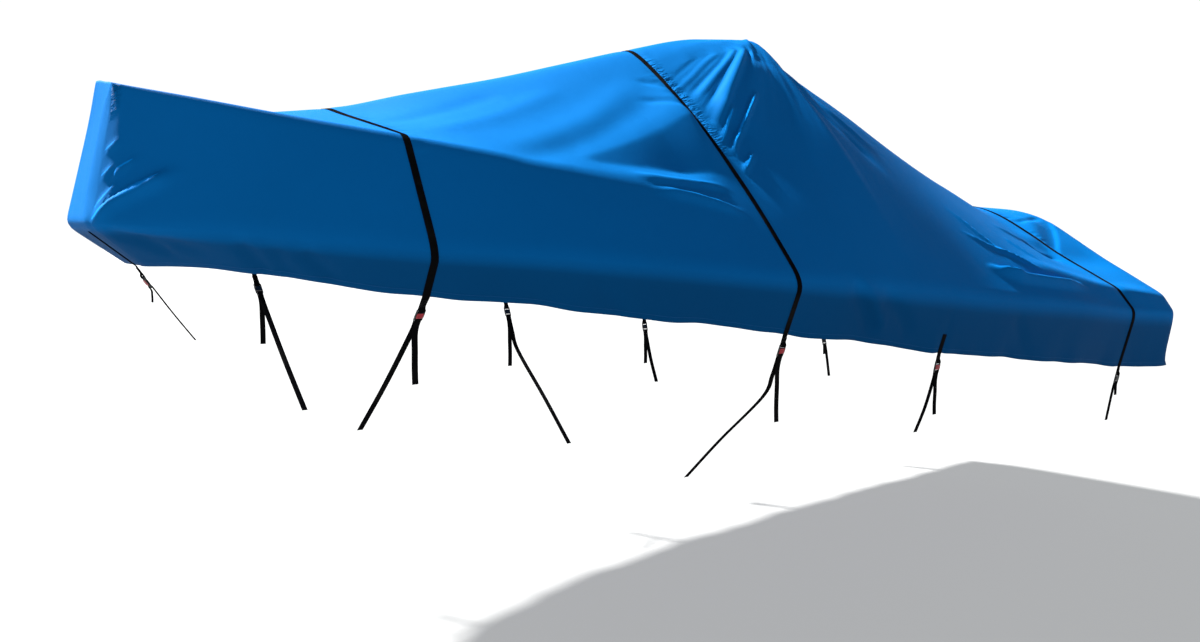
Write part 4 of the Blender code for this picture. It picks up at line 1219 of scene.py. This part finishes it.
def smoothRoute(points, steps=6):
    ends = [points[0] * 2 - points[1], *points, points[-1] * 2 - points[-2]]
    found = [points[0]]
    for a, b, c, d in zip(ends, ends[1:], ends[2:], ends[3:]):
        for i in range(1, steps + 1):
            s = i / steps
            bend, twist = a * 2 - b * 5 + c * 4 - d, b * 3 - a - c * 3 + d
            found.append((b * 2 + (c - a) * s + bend * s**2 + twist * s**3) / 2)
    return found


def addBlock(build, low, high, bevel, segments=3):
    made = bmesh.ops.create_cube(build, size=1.0)["verts"]
    low, high = Vector(low), Vector(high)
    for vert in made:
        vert.co = Vector(a + (b - a) * (c + 0.5) for a, b, c in zip(low, high, vert.co))
    edges = {edge for vert in made for edge in vert.link_edges}
    bmesh.ops.bevel(build, geom=list(edges), offset=bevel, segments=segments, profile=0.5, affect="EDGES")


def addPart(build, part, left, right, start, end):
    low, high, bevel = buckleBlocks[part]
    half = buckleSizes["thick"] / 2
    addBlock(build, (left, start, low * half), (right, end, high * half), bevel)


def buckleFrame():
    # moulded frame: side rails, a raised plate and two end bars, all with eased edges
    size = buckleSizes
    half = size["width"] / 2
    build = bmesh.new()
    for outer in (-half, half):
        for part, span in (("rail", (0, 1)), ("thumbRib", size["thumbSpan"])):
            left, right = sorted((outer - math.copysign(size[part], outer), outer))
            addPart(build, part, left, right, *(buckleLength * share for share in span))
    inner, start = half - size["rail"] * 0.6, size["bar"] + size["slot"]
    end = start + size["plate"]
    addPart(build, "plate", -inner, inner, start, end)
    for low in (start, end - size["rim"]):
        addPart(build, "rim", -inner, inner, low, low + size["rim"])
    for low in (0.0, buckleLength - size["bar"]):
        addPart(build, "bar", -inner, inner, low, low + size["bar"])
    return meshOf("buckle_frame", build)


def buckleButton():
    # push button: a crowned plate with grip ribs across it
    size = buckleSizes
    across, along, rise = size["button"]
    top, centre = size["thick"] / 2, buckleLength / 2
    body, ribs = (top + rise * share for share in size["crown"])
    build = bmesh.new()
    low, high = (-across / 2, centre - along / 2, 0), (across / 2, centre + along / 2, body)
    addBlock(build, low, high, size["buttonBevel"], 4)
    grip, reach = size["grip"], across * size["gripReach"]
    for i in range(size["gripCount"]):
        y = centre + (i - (size["gripCount"] - 1) / 2) * along * size["gripPitch"]
        addBlock(build, (-reach, y - grip, top), (reach, y + grip, ribs), grip / 2, 2)
    return meshOf("buckle_button", build)


def buckleBars():
    # bright bars on both sides of the button
    size = buckleSizes
    reach, inner = size["steel"] / 2, size["width"] / 2 - size["steelInset"]
    build = bmesh.new()
    for middle in (size["bar"] / 2, buckleLength - size["bar"] / 2):
        addPart(build, "steel", -inner, inner, middle - reach, middle + reach)
    return meshOf("buckle_bars", build)


webbingMaterial = makeWebbingMaterial()
threadMaterial = makePlasticMaterial("hemThread", (0.004, 0.10, 0.34), 0.6)
darkThread = makePlasticMaterial("webbingThread", (0.035, 0.033, 0.032), 0.7)
frameMaterial = makePlasticMaterial("mouldedFrame", (0.012, 0.012, 0.013), 0.36)
buttonMaterial = makePlasticMaterial("redButton", (0.30, 0.012, 0.022), 0.34)
steelMaterial = makePlasticMaterial("brightBar", (0.55, 0.55, 0.56), 0.28, 0.00004, metallic=1.0)
greyMaterial = makePlasticMaterial("darkButton", (0.03, 0.03, 0.032), 0.4)

frameShape, buttonShape, barsShape = buckleFrame(), buckleButton(), buckleBars()


def fitShape(name, shape, matrix, material):
    mesh = shape.copy()
    mesh.transform(matrix)
    smoothed(mesh, 35)
    made = newObject(name, mesh, material)
    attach(made, "root")
    return made


def boxStitch(name, fall):
    # thread that holds a folded-back end: a box with a stroke across it
    size = boxSizes
    start, end = -fallSizes["flat"] - size["past"][0], fallSizes["short"] - fall.reach + size["past"][1]
    side = webbing["width"] / 2 - size["inset"]
    off = webbing["thick"] * 1.5 + fallSizes["layerGap"] - loopReach + size["proud"]
    away = Vector(fall.out * fall.away[0] + np.array((0, 0, fall.away[1])))
    corners = [(-side, start), (side, start), (side, end), (-side, end), (-side, start), (side, end)]
    build = bmesh.new()
    for (u0, v0), (u1, v1) in zip(corners, corners[1:]):
        count = max(2, round(math.hypot(u1 - u0, v1 - v0) / size["pitch"]))
        for i in range(count):
            ends = []
            for share in ((i + part) / count for part in size["thread"]):
                u, v = blend(u0, u1, share), blend(v0, v1, share)
                ends.append(Vector(fall.world(fall.local(v, off)) + fall.across * u - heldAt))
            sideways = (ends[1] - ends[0]).normalized().cross(away) * size["radius"]
            ring = [e + s for e in ends for s in (sideways, away * size["radius"], -sideways)]
            verts = [build.verts.new(p) for p in ring]
            for face in ((0, 1, 4, 3), (1, 2, 5, 4), (2, 0, 3, 5), (0, 2, 1), (3, 4, 5)):
                build.faces.new([verts[k] for k in face])
    bmesh.ops.recalc_face_normals(build, faces=build.faces)
    made = newObject(name, meshOf(name, build), darkThread)
    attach(made, "root")
    return made


def fitBuckle(fall, place):
    dark = place.startswith("aft")  # those by the stern have no red or bright metal
    matrix = fall.matrix()
    moulded = fitShape("buckle_frame_" + place, frameShape, matrix, frameMaterial)
    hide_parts("buckle_" + place)
    fitShape("buckle_button_" + place, buttonShape, matrix, greyMaterial if dark else buttonMaterial)
    fitShape("buckle_bars_" + place, barsShape, matrix, frameMaterial if dark else steelMaterial)
    addStrip("tie_" + place, "tie_strip_" + place, fall.tie())
    boxStitch("box_stitch_" + place, fall)


def addStrip(node, name, rings):
    made, length = ribbon(name, rings, webbingMaterial)
    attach(made, "root")
    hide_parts(node)
    return made


for name, drop in drops.items():
    station = int(np.argmin(np.abs(stations - drop[0])))
    rings = ringsOnCloth(station)
    rings = [onward(rings), *rings, onward(rings[::-1])]
    port = Fall(drop, (0, -1, 0), (1, 0, 0), rings[0])
    starboard = Fall(drop, (0, 1, 0), (1, 0, 0), rings[-1])
    if name in coverSizes["overX"]:
        path = port.sewnEnd()[::-1] + rings + starboard.sewnEnd()
        addStrip("over_" + name, "over_strip_" + name, path)
    else:
        tabRows = int(np.argmin(np.abs(rows - coverSizes["tabEnd"]))) + 1
        for side, fall, run in (("port", port, rings), ("starboard", starboard, rings[::-1])):
            place, sewn = f"{name}_{side}", run[:tabRows]
            addStrip("tab_" + place, "tab_strip_" + place, sewn[::-1] + fall.sewnEnd())
    fitBuckle(port, name + "_port")
    fitBuckle(starboard, name + "_starboard")

bowRings = []
middle = len(cloth.bow[0]) // 2
across = np.array((0, 1, 0))
for line in cloth.bow[: int(coverSizes["tabEnd"] * railRow / 2) + 2]:
    point, normal = cloth.points[line[middle]], normals[line[middle]]
    raised = point + normal * webbingRise
    half = across * webbing["width"] / 2
    bowRings.append((raised - half, raised, raised + half, normal))
bowRings.insert(0, onward(bowRings))
bow = Fall(bowDrop, (-1, 0, 0), across, bowRings[0])
addStrip("tab_bow", "tab_strip_bow", bowRings[::-1] + bow.sewnEnd())
fitBuckle(bow, "bow")

stitches = addStitches("hem_stitches", stitchLine, threadMaterial)
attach(cover, "root")
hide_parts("cover")
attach(stitches, "root")
areas = np.zeros(len(cover.data.polygons))
cover.data.polygons.foreach_get("area", areas)
print("cloth area:", round(float(areas.sum()), 2))
print("hem stitched:", len(stitches.data.polygons), "faces")


floorSizes = {
    "reach": 40.0,
    "colour": (0.125, 0.125, 0.125),
    "mottle": {"Scale": 0.8, "Amount": 0.06},
    "glow": 0.39,  # so shadows stay light
}


def addFloor():
    build = bmesh.new()
    reach, level = floorSizes["reach"], -heldAt[2]
    corners = ((-reach, -reach), (reach, -reach), (reach, reach), (-reach, reach))
    build.faces.new([build.verts.new((u, v, level)) for u, v in corners])
    material, tree, shader = newMaterial("paleFloor", 0.9)
    mottle = addGroup(tree, mottleGroup, Vector=objectPlace(tree), **floorSizes["mottle"])["Factor"]
    tree.links.new(scaled(tree, floorSizes["colour"], mottle), shader.inputs["Base Color"])
    shader.inputs["Emission Color"].default_value = (1, 1, 1, 1)
    shader.inputs["Emission Strength"].default_value = floorSizes["glow"]
    newObject("floor", meshOf("floor", build), material)


lightSizes = {
    "towards": (-0.235, 0.632, 0.706),
    "strength": 20.6,
    "softness": 3.0,  # degrees
    "colour": (1.0, 1.0, 0.98),
    "low": (1.03, 1.03, 1.03),  # the room's light near the horizon, and overhead
    "high": (0.15, 0.23, 0.29),
    "turnsAt": (0.18, 0.42),
}


def addSun():
    light = bpy.data.lights.new("key", "SUN")
    light.energy, light.color = lightSizes["strength"], lightSizes["colour"]
    light.angle = math.radians(lightSizes["softness"])
    made = bpy.data.objects.new("key", light)
    made.rotation_euler = Vector(lightSizes["towards"]).to_track_quat("Z", "Y").to_euler()
    bpy.context.scene.collection.objects.link(made)


def addRoom():
    world = bpy.data.worlds.new("paleRoom")
    world.use_nodes = True
    tree = world.node_tree
    heading = addNode(tree, "ShaderNodeTexCoord").outputs["Generated"]
    rise = addNode(tree, "ShaderNodeSeparateXYZ", {0: heading}).outputs["Z"]
    turns = dict(zip(("From Min", "From Max"), lightSizes["turnsAt"]))
    share = addNode(tree, "ShaderNodeMapRange", {"Value": rise, **turns}).outputs[0]
    sky = mixed(tree, share, lightSizes["low"], lightSizes["high"])
    tree.links.new(sky, tree.nodes["Background"].inputs["Color"])
    bpy.context.scene.world = world


cameraSizes = {
    "place": (-4.16, -4.50, -0.773),
    "turn": 36.0,
    "fall": 121 / 1200,
    "lens": 36.0,
    "sensor": 36.0,
}


def addCamera():
    size = cameraSizes
    camera = bpy.data.cameras.new("photoCamera")
    camera.lens, camera.sensor_width = size["lens"], size["sensor"]
    made = bpy.data.objects.new("photoCamera", camera)
    made.location = size["place"]
    turn, dip = math.radians(size["turn"]), math.atan(size["fall"])
    forward = Vector((math.sin(turn) * math.cos(dip), math.cos(turn) * math.cos(dip), -math.sin(dip)))
    made.rotation_euler = (-forward).to_track_quat("Z", "Y").to_euler()
    bpy.context.scene.collection.objects.link(made)
    bpy.context.scene.camera = made


addFloor()
addSun()
addRoom()
addCamera()
bpy.context.scene.view_settings.view_transform = "Standard"
bpy.context.view_layer.update()
